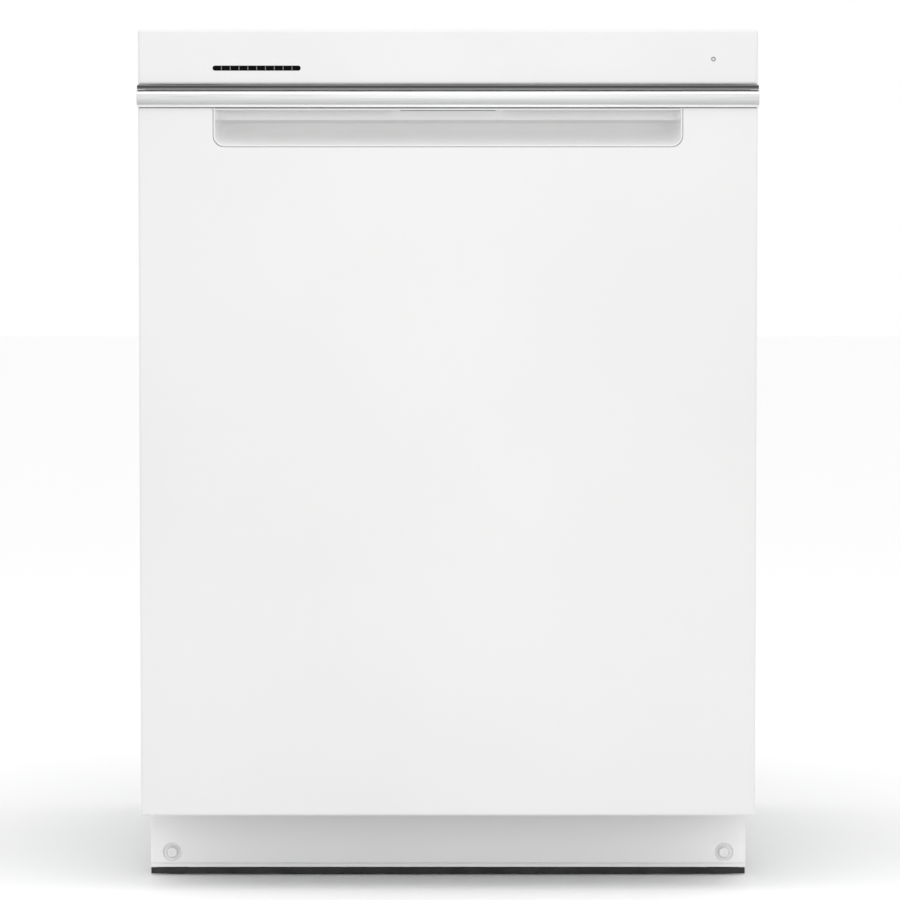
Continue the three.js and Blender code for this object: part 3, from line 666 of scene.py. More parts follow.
# Each finish has a slot name, and the function that makes its material.
FINISHES = {
    "enamel": ("white_enamel", lambda: enamel("white_enamel", colours().enamel)),
    "toe_enamel": ("white_enamel", toe_enamel),
    "white_moulding": ("white_plastic", lambda: moulded("white_moulding", colours().moulding, 0.36, 0.00002,
                                                        900.0, 0.008)),
    "pocket_painted_shade": ("white_plastic", pocket_moulding),
    "trim": ("satin_trim", bright_trim),
    "stainless": ("stainless", lambda: brushed("brushed_stainless", (0.56, 0.57, 0.58), 0.36,
                                               (0.03, 1.0, 1.0))),
    "heater": ("stainless", heater_sheath),
    "zinc": ("galvanised", lambda: zinc_sheet("galvanised_sheet", (0.46, 0.48, 0.5))),
    "tub": ("tub_grey", lambda: speckled("speckled_tub", colours().tub)),
    "pale": ("pale_grey_plastic", lambda: moulded("pale_moulding", colours().pale, 0.45)),
    "clear_grey": ("smoke_lens", lambda: moulded("lens_grey", (0.42, 0.43, 0.44), 0.15, 0.000005)),
    "wire": ("nylon_wire", lambda: moulded("nylon_coat", colours().wire, 0.4, 0.00002, 2600.0)),
    "seam": ("dark_plastic", seam_painted_shade),
    "ring": ("dark_plastic", lambda: moulded("ring_grey", (0.38, 0.38, 0.385), 0.5)),
    "grey_moulding": ("dark_plastic", lambda: moulded("grey_moulding", (0.16, 0.16, 0.165), 0.5)),
    "dark": ("dark_plastic", lambda: moulded("dark_moulding", (0.02, 0.021, 0.023), 0.5, 0.00006, 1200.0,
                                             0.15)),
    "rubber": ("black_rubber", lambda: rubber("seal_rubber", (0.032, 0.032, 0.033))),
    "grille": ("black_grille", vent_black),
    "blue": ("blue_plastic", lambda: moulded("blue_moulding", colours().blue, 0.4)),
    "felt": ("felt_blanket", lambda: fibre("needled_felt", colours().felt)),
}


MADE = {}  # the material of each finish that has been used


def finish_material(finish):
    if finish not in MADE:
        MADE[finish] = FINISHES[finish][1]()
    return MADE[finish]


def paint_node(node, finish):
    """Give a carried CAD node a procedural finish."""
    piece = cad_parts[node]
    for place in piece.material_slots:
        place.material = finish_material(finish)
    if not piece.material_slots:
        piece.data.materials.append(finish_material(finish))


# ------------------------------------------------------------------ door front


class MakeDoorPanel(bpy.types.Operator):
    """Folded outer skin with soft edges and a notch for the handle pocket"""

    bl_idname = "dishwasher.door_panel"
    bl_label = "Door panel"

    def execute(self, context):
        low, high = limits("door_panel")
        edge = sizes().panel_edge
        panel = block(low, high)
        bevel_edges(panel, either(along(0, (1, low.y), (2, low.z)), along(2, (1, low.y))), edge, 5)
        delete_faces(panel, either(facing(1, 1), facing(2, 1)))
        thicken(panel, sizes().skin)
        pocket_low, pocket_high = limits("handle_pocket")
        slack = 0.35 * MM
        notch = block((pocket_low.x - slack, low.y - PAST, pocket_low.z - slack),
                      (pocket_high.x + slack, high.y + PAST, high.z + 2 * PAST))
        for x in (pocket_low.x - slack, pocket_high.x + slack):
            bevel_edges(notch, along(1, (0, x), (2, pocket_low.z - slack)), 11 * MM, 8)
        cut(panel, notch)
        fit(panel, "door_skin", "door", "enamel", "door_panel")
        return {"FINISHED"}


class MakeConsole(bpy.types.Operator):
    """Console shell with its slotted top, the vent slot, and the seam under it"""

    bl_idname = "dishwasher.console"
    bl_label = "Console"

    def execute(self, context):
        low, high = limits("control_fascia")
        overhang = 0.8 * MM  # the shell comes down in front of its seam
        low.z -= overhang
        shell = block(low, high)
        rounded = either(along(0, (1, low.y)), along(2, (1, low.y)), along(1, (2, high.z)))
        bevel_edges(shell, rounded, sizes().console_edge, 5)
        delete_faces(shell, facing(1, 1))
        thicken(shell, 3 * MM)
        panel_low, panel_high = limits("control_panel")
        gap = 0.4 * MM
        slot = block((panel_low.x - gap, panel_low.y - gap, high.z - 2 * PAST),
                     (panel_high.x + gap, panel_high.y + gap, high.z + 2 * PAST))
        under = block((low.x + 3 * MM, low.y + 18 * MM, low.z - PAST),
                      (high.x - 3 * MM, high.y + PAST, low.z + 4 * MM))
        vent_low, vent_high = limits("vent_grille")
        vent = self.stadium(vent_low, vent_high, low.y - PAST, low.y + PAST)
        lens_low, lens_high = limits("status_lens")
        lens = disc((lens_high.x - lens_low.x) / 2 + 0.25 * MM, -PAST, PAST,
                    ((lens_low.x + lens_high.x) / 2, low.y, (lens_low.z + lens_high.z) / 2), "Y")
        cut(shell, slot, under, vent, lens)
        fit(shell, "console_shell", "door", "white_moulding", "control_fascia")
        self.seam(low)
        return {"FINISHED"}

    def stadium(self, low, high, front, back):
        radius = (high.z - low.z) / 2
        tool = block((low.x, front, low.z), (high.x, back, high.z))
        bevel_edges(tool, along(1), radius * 0.98, 8)
        return tool

    def seam(self, low):
        """Grey seal that closes the gap between the console and the grip strip; its dark band is painted
        shade of the gap.
        """
        strip_low, strip_high = limits("grip_strip")
        reach = 0.6 * MM
        seam = soft_block((low.x - reach, strip_low.y + 2.6 * MM, strip_high.z + 0.25 * MM),
                          (-low.x + reach, strip_high.y - 0.4 * MM, low.z - 0.2 * MM), 0.5 * MM)
        fit(seam, "console_seam", "door", "seam")


class MakeVent(bpy.types.Operator):
    """Row of vent slots between thin dividers, and the status ring"""

    bl_idname = "dishwasher.vent"
    bl_label = "Vent and status ring"

    def execute(self, context):
        low, high = limits("vent_grille")
        count = 10
        pitch = (high.x - low.x) / count
        radius = (high.z - low.z) / 2
        back = soft_block((low.x + 0.3 * MM, low.y + 2.2 * MM, low.z + 0.3 * MM),
                          (high.x - 0.3 * MM, high.y, high.z - 0.3 * MM), 0.3 * MM, 2)
        fit(back, "vent_back", "door", "grille", "vent_grille")
        bars = []
        for i in range(1, count):
            x = low.x + i * pitch
            bars.append(soft_block((x - 0.45 * MM, low.y + 0.5 * MM, low.z + 0.4 * MM),
                                   (x + 0.45 * MM, low.y + 2.6 * MM, high.z - 0.4 * MM), 0.15 * MM, 2))
        fit(join(*bars), "vent_dividers", "door", "grey_moulding")
        self.surround(low, high, radius)
        self.ring()
        return {"FINISHED"}

    def surround(self, low, high, radius):
        corners = [(low.x, 0, low.z), (high.x, 0, low.z), (high.x, 0, high.z), (low.x, 0, high.z)]
        path = [point + Vector((0, low.y + 0.2 * MM, 0)) for point in bent(corners, radius, 6, True)]
        fit(wires([(path, True)], 0.28 * MM), "vent_surround", "door", "dark")

    def ring(self):
        low, high = limits("status_lens")
        centre = ((low.x + high.x) / 2, low.y, (low.z + high.z) / 2)
        radius = (high.x - low.x) / 2
        lens = turned([(0, 4 * MM), (radius * 0.6, 4 * MM), (radius * 0.6, 0.5 * MM), (0, 0.1 * MM)],
                      centre, "Y", 24)
        fit(lens, "status_lens_dome", "door", "white_moulding", "status_lens")
        edge = [(radius * 0.66, 0.5 * MM), (radius * 0.8, 0.05 * MM), (radius, 0.4 * MM),
                (radius, 3 * MM), (radius * 0.66, 3 * MM)]
        fit(turned(edge, centre, "Y", 32, closed=True), "status_ring", "door", "ring")


class MakeKeys(bpy.types.Operator):
    """Top-edge control panel with soft keys and small indicators"""

    bl_idname = "dishwasher.keys"
    bl_label = "Control panel and keys"

    def execute(self, context):
        low, high = limits("control_panel")
        plate = soft_block(low, high, 0.8 * MM)
        gap = 0.5 * MM
        tools, places = [], []
        for name in KEYS:
            key_low, key_high = limits(f"key_{name}")
            tools.append(block((key_low.x - gap, key_low.y - gap, low.z - PAST),
                               (key_high.x + gap, key_high.y + gap, high.z + PAST)))
            self.key(name, key_low, key_high)
            for step in (-1, 0, 1):
                places.append(((key_low.x + key_high.x) / 2 + step * 7 * MM, key_low.y - 3 * MM, high.z))
        fit(cut(plate, *tools), "control_plate", "door", "dark", "control_panel")
        lamps = [disc(1.1 * MM, -0.5 * MM, 0.25 * MM, place, edge=0.1 * MM, sides=20) for place in places]
        fit(join(*lamps), "indicator_lamps", "door", "clear_grey")
        return {"FINISHED"}

    def key(self, name, low, high):
        """Key cap dished along its middle."""
        cap = block(low, high)
        bevel_edges(cap, along(2), 3 * MM, 6)
        pick(cap, "faces", facing(2, 1))
        bpy.ops.mesh.inset(thickness=0.9 * MM)
        bpy.ops.mesh.inset(thickness=1.2 * MM)
        bpy.ops.transform.translate(value=(0, 0, -0.5 * MM))
        leave_edit()
        modify(cap, "BEVEL", width=0.4 * MM, segments=2, limit_method="ANGLE", angle_limit=math.radians(50))
        fit(cap, f"key_cap_{name}", f"{name}_key", "white_moulding", f"key_{name}")


class MakeGripStrip(bpy.types.Operator):
    """Full-width bright strip with a rounded nose and a fine lower lip"""

    bl_idname = "dishwasher.grip_strip"
    bl_label = "Grip strip"

    def execute(self, context):
        low, high = limits("grip_strip")
        strip = block(low, high)
        divide(strip, 2, 47)
        height = high.z - low.z
        depth = high.y - low.y
        lip, tip = 0.09, 0.56  # parts of the height

        def nose(point):
            if point.y > low.y + depth / 2:
                return point
            t = (point.z - low.z) / height
            if t < lip:
                part = 0.30 + 1.2 * (t / lip - 0.5) ** 2
            elif t < tip:
                part = 0.62 * ((tip - t) / (tip - lip)) ** 1.25
            else:
                part = 0.75 * ((t - tip) / (1 - tip)) ** 4
            point.y = low.y + depth * part
            return point

        reshape(strip, nose)
        modify(strip, "BEVEL", width=1.1 * MM, segments=4, limit_method="ANGLE",
               angle_limit=math.radians(55))
        fit(strip, "grip_nose", "door", "trim", "grip_strip", angle=28)
        panel_low = limits("door_panel")[0]
        # Painted shadow: a thin grey strip under the grip strip's edge stands in for the shadow in the gap
        # above the panel.
        seal = soft_block((panel_low.x + 1 * MM, panel_low.y - 0.25 * MM, low.z - 0.8 * MM),
                          (-panel_low.x - 1 * MM, low.y + depth * 0.8, low.z + 0.1 * MM), 0.2 * MM, 2)
        fit(seal, "grip_seal", "door", "grey_moulding")
        return {"FINISHED"}


class MakePocket(bpy.types.Operator):
    """Scooped handle pocket with its thin lip, and the release paddle in its roof"""

    bl_idname = "dishwasher.pocket"
    bl_label = "Handle pocket"

    def execute(self, context):
        low, high = limits("handle_pocket")
        strip_low = limits("grip_strip")[0]
        self.scoop(low, high, strip_low.z)
        self.lip(low, high, strip_low.z)
        self.paddle()
        return {"FINISHED"}

    def scoop(self, low, high, mouth_top):
        """Dished back surface: an upright band over a hollow that curves out to the lip."""
        lip = 2 * MM
        left, right = low.x + lip, high.x - lip
        bottom, top = low.z + lip, high.z - 1 * MM
        deepest = high.y - 4 * MM
        front = low.y + 1.2 * MM
        band_bottom = mouth_top - 11.5 * MM
        corner = 9 * MM
        side_run = 15 * MM

        def ease(t):
            t = max(0.0, min(1.0, t))
            return t * t * (3 - 2 * t)

        def place(point):
            u, v = point.x, (point.y + 1) / 2
            z = bottom + (top - bottom) * v
            half = (right - left) / 2
            rise = z - bottom
            inset = corner - math.sqrt(max(0.0, corner ** 2 - (corner - rise) ** 2)) if rise < corner else 0
            x = (left + right) / 2 + u * (half - inset)
            from_side = half - inset - abs(u) * (half - inset)
            t = (band_bottom - z) / (band_bottom - bottom)
            band = 0.40 + 0.04 * (1 - abs(u)) ** 0.5
            scoop = 0.90 + 0.36 * t - 1.26 * max(t, 0.0) ** 2.1
            depth = band if t < 0 else band + (scoop - band) * ease(t / 0.12)
            wall = math.sqrt(max(0.0, 1 - (1 - min(1.0, from_side / side_run)) ** 2))
            y = front + (deepest - front) * depth * (0.02 + 0.98 * wall)
            return Vector((x, y, z))

        sheet = sheet_of(120, 60, place)
        face_outwards(sheet)
        middle = sheet.data.polygons[len(sheet.data.polygons) // 2]
        if middle.normal.y > 0:
            sheet.data.flip_normals()
        thicken(sheet, 1.6 * MM)
        fit(sheet, "pocket_scoop", "door", "pocket_painted_shade", "handle_pocket", angle=40, weighted=False)

    def lip(self, low, high, top):
        """Rounded bead round the pocket's sides and bottom, and another under its top edge."""
        inset = 1.0 * MM
        y = low.y + 0.9 * MM
        corners = [(low.x + inset, y, top - 0.4 * MM), (low.x + inset, y, low.z + inset),
                   (high.x - inset, y, low.z + inset), (high.x - inset, y, top - 0.4 * MM)]
        brow = [Vector((x, y + 0.2 * MM, top - 1.7 * MM)) for x in (low.x + inset, high.x - inset)]
        fit(wires([curved(corners, 10 * MM, 12), (brow, False)], 1.0 * MM, 3), "pocket_lip",
            "door", "white_moulding")

    def paddle(self):
        low, high = limits("latch_paddle")
        plate = soft_block((low.x, low.y + 1 * MM, low.z + 0.5 * MM), (high.x, high.y - 1 * MM, high.z),
                           0.5 * MM)
        ends = [soft_block((x - 3.8 * MM, low.y, low.z), (x + 3.8 * MM, high.y - 0.6 * MM, low.z + 5 * MM),
                           0.9 * MM) for x in (low.x + 3.9 * MM, high.x - 3.9 * MM)]
        ribs = [soft_block((x - 0.6 * MM, low.y + 0.3 * MM, low.z + 2 * MM),
                           (x + 0.6 * MM, high.y - 1.4 * MM, high.z - 3 * MM), 0.25 * MM, 2)
                for x in spread(low.x + 14 * MM, high.x - 14 * MM, 17)]
        fit(join(plate, *ends, *ribs), "paddle_plate", "paddle", "white_moulding", "latch_paddle")
        # Painted shadow: a thin grey strip along the paddle's foot stands in for the shaded gap between the
        # paddle and the scoop.
        edge = soft_block((low.x + 8 * MM, low.y + 0.2 * MM, low.z - 0.1 * MM),
                          (high.x - 8 * MM, low.y + 2 * MM, low.z + 0.8 * MM), 0.25 * MM, 2)
        fit(edge, "paddle_edge", "paddle", "grey_moulding")


# ------------------------------------------------------------------ toe


class MakeToe(bpy.types.Operator):
    """Recessed toe panel with two dished screws, kick plate and floor seal"""

    bl_idname = "dishwasher.toe"
    bl_label = "Toe panel"

    def execute(self, context):
        low, high = limits("toe_panel")
        panel = block(low, high)
        bevel_edges(panel, along(0, (1, low.y)), 0.9 * MM, 3)
        kick_low, kick_high = limits("kick_plate")
        kick = soft_block(kick_low, kick_high, 0.6 * MM)
        dishes, holes = [], []
        for name, _ in SIDES:
            x, z = self.screw_place(name)
            dishes.append(turned([(0, -PAST), (10.6 * MM, -PAST), (9.9 * MM, 0), (9.4 * MM, 0.3 * MM),
                                  (8.2 * MM, 1.8 * MM), (7.6 * MM, 1.9 * MM), (2.9 * MM, 1.9 * MM),
                                  (2.9 * MM, PAST), (0, PAST)], (x, low.y, z), "Y", 48))
            holes.append(disc(2.9 * MM, -PAST, PAST, (x, kick_low.y, z), "Y"))
        fit(cut(panel, *dishes), "toe_board", "cabinet", "toe_enamel", "toe_panel")
        fit(cut(kick, *holes), "kick_board", "cabinet", "toe_enamel", "kick_plate")
        seal = soft_block(*limits("toe_seal"), 0.7 * MM)
        fit(seal, "floor_seal", "cabinet", "rubber", "toe_seal")
        for name, _ in SIDES:
            self.screw(name)
        return {"FINISHED"}

    def screw_place(self, name):
        low, high = limits(f"toe_screw_{name}")
        return (low.x + high.x) / 2, (low.z + high.z) / 2

    def screw(self, name):
        """Hexagon head with a chamfer, a washer face and a driver socket."""
        low, high = limits(f"toe_screw_{name}")
        x, z = self.screw_place(name)
        face = in_mm((0, 1.2), (0, 2.6), (6.7, 2.6), (6.8, 2.0), (5.9, 1.3))
        washer = turned(face, (x, low.y, z), "Y", 40)
        forwards = (math.pi / 2, 0, 0)
        head = hexagon(5.5 * MM, 2.6 * MM, (x, low.y + 1.3 * MM, z), forwards)
        modify(head, "BEVEL", width=0.6 * MM, segments=3, limit_method="NONE")
        cut(head, hexagon(2.9 * MM, 3.0 * MM, (x, low.y, z), forwards))
        shank = disc(2.4 * MM, 2.4 * MM, high.y - low.y, (x, low.y, z), "Y", 0.4 * MM, 20)
        fit(join(head, washer, shank), f"hex_screw_{name}", "cabinet", "toe_enamel", f"toe_screw_{name}")


# ------------------------------------------------------------------ inner door


class MakeInnerDoor(bpy.types.Operator):
    """Pressed inner door with its dispenser, hinge arms and catch"""

    bl_idname = "dishwasher.inner_door"
    bl_label = "Inner door"

    def execute(self, context):
        self.liner()
        self.dispenser()
        self.rinse_cap()
        self.hinge_arms()
        self.catch()
        return {"FINISHED"}

    def liner(self):
        """Pan with a sunken field, so that the rim stands up as the seal's land."""
        low, high = limits("door_liner")
        pan = block(low, high)
        bevel_edges(pan, along(1), 14 * MM, 6)
        bevel_edges(pan, on_plane(1, high.y), 2.4 * MM, 3)
        press(pan, facing(1, 1, high.y), 1, (
            (24 * MM, 0), (1.5 * MM, -0.6 * MM), (4 * MM, -3.8 * MM), (1.5 * MM, -0.6 * MM),
            (58 * MM, 0), (1 * MM, 0.3 * MM), (2.5 * MM, 1.2 * MM), (1 * MM, 0.3 * MM)))
        delete_faces(pan, facing(1, -1))
        thicken(pan, 1.2 * MM)
        body_low, body_high = limits("dispenser_body")
        cut(pan, block((body_low.x + 5.6 * MM, low.y - PAST, body_low.z + 5.6 * MM),
                       (body_high.x - 5.6 * MM, high.y + PAST, body_high.z - 5.6 * MM)))
        fit(pan, "liner_pan", "door", "stainless", "door_liner")

    def dispenser(self):
        low, high = limits("dispenser_body")
        lid_low, lid_high = limits("dispenser_lid")
        plate = block((low.x, high.y - 8 * MM, low.z), high)
        bevel_edges(plate, along(1), 9 * MM, 6)
        bevel_edges(plate, on_plane(1, high.y), 1.4 * MM, 3)
        rear = soft_block((low.x + 6 * MM, low.y, low.z + 6 * MM),
                          (high.x - 6 * MM, high.y - 2 * MM, high.z - 6 * MM), 3 * MM)
        body = cut(plate, rear, operation="UNION")
        cup = block((lid_low.x + 4 * MM, high.y - 27 * MM, lid_low.z + 4 * MM),
                    (lid_high.x - 4 * MM, high.y + PAST, lid_high.z - 4 * MM))
        bevel_edges(cup, along(1), 6 * MM, 5)
        track = block((lid_low.x - 1 * MM, high.y - 1 * MM, lid_high.z + 1 * MM),
                      (high.x - 8 * MM, high.y + PAST, lid_high.z + 2.6 * MM))
        track_low = block((lid_low.x - 1 * MM, high.y - 1 * MM, lid_low.z - 2.6 * MM),
                          (high.x - 8 * MM, high.y + PAST, lid_low.z - 1 * MM))
        fit(cut(body, cup, track, track_low), "dispenser_case", "door", "pale", "dispenser_body")
        self.lid(lid_low, lid_high)

    def lid(self, low, high):
        lid = block(low, (high.x, low.y + 3 * MM, high.z))
        bevel_edges(lid, along(1), 6 * MM, 5)
        bevel_edges(lid, on_plane(1, low.y + 3 * MM), 0.9 * MM, 3)
        ribs = [soft_block((x - 1.2 * MM, low.y + 2.4 * MM, low.z + 16 * MM),
                           (x + 1.2 * MM, high.y, high.z - 16 * MM), 0.9 * MM)
                for x in spread(low.x + 8 * MM, low.x + 20 * MM, 3)]
        fit(join(lid, *ribs), "cup_lid", "dispenser_cover", "white_moulding", "dispenser_lid")

    def rinse_cap(self):
        low, high = limits("rinse_cap")
        centre = ((low.x + high.x) / 2, low.y, (low.z + high.z) / 2)
        radius = (high.x - low.x) / 2
        cap = turned([(0, 0), (radius, 0), (radius, 2.6 * MM), (radius - 1.4 * MM, 4 * MM),
                      (radius - 4 * MM, 4 * MM), (radius - 5 * MM, 3 * MM), (0, 3 * MM)], centre, "Y", 48)
        grip = soft_block((low.x + 4 * MM, low.y + 2.5 * MM, centre[2] - 2.2 * MM),
                          (high.x - 4 * MM, high.y, centre[2] + 2.2 * MM), 1.2 * MM, 4)
        fit(join(cap, grip), "rinse_knob", "rinse_aid_cap", "blue", "rinse_cap")

    def hinge_arms(self):
        for name, side in SIDES:
            paint_node(f"hinge_arm_{name}", "zinc")
            low, high = limits(f"hinge_arm_{name}")
            outer = high.x if side > 0 else low.x
            y = (low.y + high.y) / 2 - 4 * MM
            head = in_mm((0, -0.4), (4.2, -0.4), (3.6, 0.9), (2, 1.5), (0, 1.7))
            rivets = [stud(head, (outer, y, z), side, 24)
                      for z in spread(low.z + 60 * MM, high.z - 16 * MM, 3)]
            fit(join(*rivets), f"hinge_rivets_{name}", "door", "zinc")

    def catch(self):
        low, high = limits("door_latch")
        plate = soft_block((low.x, low.y, low.z), (high.x, low.y + 2 * MM, high.z), 0.7 * MM)
        hook = block((low.x + 6 * MM, low.y + 1 * MM, low.z + 1 * MM),
                     (high.x - 6 * MM, high.y, low.z + 6.8 * MM))
        bevel_edges(hook, along(0, (1, high.y)), 2.2 * MM, 4)
        tooth = soft_block((low.x + 6 * MM, low.y + 8.2 * MM, low.z + 4 * MM),
                           (high.x - 6 * MM, low.y + 12 * MM, low.z + 10.4 * MM), 1 * MM)
        fit(join(plate, hook, tooth), "catch_hook", "door", "dark", "door_latch")


# ------------------------------------------------------------------ cabinet


class MakeTub(bpy.types.Operator):
    """Wash tub with pressed beads in its walls, a stepped rim and a sump hole, and its seal"""

    bl_idname = "dishwasher.tub"
    bl_label = "Tub"

    def execute(self, context):
        self.shell()
        self.gasket()
        return {"FINISHED"}

    def shell(self):
        low, high = limits("tub")
        wall = 3 * MM
        half = 273 * MM
        bottom, top = 113.5 * MM, 806 * MM
        shell = block((-half, low.y, bottom), (half, high.y, top))
        bevel_edges(shell, along(1), 9 * MM, 6)
        bevel_edges(shell, on_plane(1, high.y), 9 * MM, 5)
        for axis, sign in ((0, 1), (0, -1), (2, 1)):
            press(shell, facing(axis, sign), axis, (
                (34 * MM, 0), (1 * MM, -0.5 * MM * sign), (3 * MM, -1.2 * MM * sign)))
        self.beads(shell, high.y)
        delete_faces(shell, facing(1, -1))
        thicken(shell, wall, even=False)
        rim = block((low.x, low.y, low.z), (high.x, low.y + 2.5 * MM, high.z))
        bevel_edges(rim, along(1), 8 * MM, 5)
        bevel_edges(rim, on_plane(1, low.y), 1.0 * MM, 3)
        mouth = block((-half + wall, low.y - PAST, bottom + wall), (half - wall, low.y + PAST, top - wall))
        bevel_edges(mouth, along(1), 6 * MM, 6)
        cut(rim, mouth)
        sump_low, sump_high = limits("sump")
        centre = ((sump_low.x + sump_high.x) / 2, (sump_low.y + sump_high.y) / 2, bottom)
        cut(shell, disc(88 * MM, -PAST, PAST, centre, sides=64))
        fit(join(shell, rim), "wash_tub", "cabinet", "tub", "tub")

    def beads(self, shell, back):
        """Stiffening beads pressed across the back wall."""
        down = ((1.5 * MM, -0.5 * MM), (4 * MM, -2 * MM), (1.5 * MM, -0.5 * MM))
        up = tuple((inset, -rise) for inset, rise in down)
        press(shell, facing(1, 1, back), 1,
              ((36 * MM, 0),) + down + ((64 * MM, 0),) + up + ((44 * MM, 0),) + down)

    def gasket(self):
        """Hollow-nosed seal round three sides of the mouth."""
        low, high = limits("tub_gasket")
        y = (low.y + high.y) / 2
        radius = (high.y - low.y) / 2
        first_inset = 3.4 * MM
        paths = []
        for step in range(3):
            inset = first_inset + step * 1.6 * MM
            corners = [(low.x + inset, y, low.z + 1 * MM), (low.x + inset, y, high.z - inset),
                       (high.x - inset, y, high.z - inset), (high.x - inset, y, low.z + 1 * MM)]
            paths.append(curved(corners, 22 * MM, 8))
        fit(wires(paths, radius, 2), "mouth_seal", "cabinet", "rubber", "tub_gasket")


class MakeBlanket(bpy.types.Operator):
    """Quilted sound blanket over the tub's top and sides, and the straps that hold it"""

    bl_idname = "dishwasher.blanket"
    bl_label = "Sound blanket"

    def execute(self, context):
        low, high = limits("insulation_blanket")
        thick = 10.5 * MM
        half = high.x - 0.6 * MM
        top = high.z - 0.8 * MM
        corner = 26 * MM
        drop = top - low.z
        straight = half - corner
        arc = corner * math.pi / 2
        length = 2 * (drop - corner + arc + straight)
        depth = sizes().quilt
        stitch_rows = 6
        stitch_columns = 16
        hem = 12 * MM

        def place(point):
            s = (point.x + 1) / 2 * length - length / 2
            v = (point.y + 1) / 2
            y = low.y + 1 * MM + (high.y - low.y - 2 * MM) * v
            side = 1 if s > 0 else -1
            run = abs(s)
            if run < straight:
                x, z, nx, nz = run, top, 0, 1
            elif run < straight + arc:
                turn = (run - straight) / corner
                nx, nz = math.sin(turn), math.cos(turn)
                x, z = straight + corner * nx, top - corner + corner * nz
            else:
                x, z, nx, nz = half, top - corner - (run - straight - arc), 1, 0
            row = abs(math.sin(math.pi * v * stitch_rows)) ** 0.35
            column = abs(math.sin(math.pi * (s / length + 0.5) * stitch_columns)) ** 0.35
            edge = min(1.0, min(v, 1 - v) * 30, (length / 2 - run) / hem)
            wander = noise.noise(Vector((s * 9, y * 9, 3.1))) * 0.5 + 0.5
            sink = depth * (1 - min(row, column)) + 1.4 * MM * wander + 2.2 * MM * (1 - edge)
            return Vector((side * (x - nx * sink), y, z - nz * sink))

        pad = sheet_of(230, 76, place)
        face_up(pad)
        modify(pad, "SOLIDIFY", thickness=thick - depth, offset=-1)
        fit(pad, "sound_blanket", "cabinet", "felt", "insulation_blanket", angle=60, weighted=False)
        self.straps(half, top, low, high, corner)
        return {"FINISHED"}

    def straps(self, half, top, low, high, corner):
        """Flat woven straps that hold the blanket down over the top and both sides."""
        lift = 1.1 * MM
        x, z, foot = half + lift, top + lift, low.z + 6 * MM
        path = bent([(-x, 0, foot), (-x, 0, z), (x, 0, z), (x, 0, foot)], corner, 10)
        half_width = 9 * MM
        bands = []
        for part in (0.27, 0.77):
            y = low.y + (high.y - low.y) * part

            def place(point):
                step = round((point.x + 1) / 2 * (len(path) - 1))
                return path[step] + Vector((0, y + point.y * half_width, 0))

            band = sheet_of(len(path) - 1, 4, place)
            face_up(band)
            bands.append(thicken(band, 1.0 * MM))
        fit(join(*bands), "blanket_straps", "cabinet", "dark")


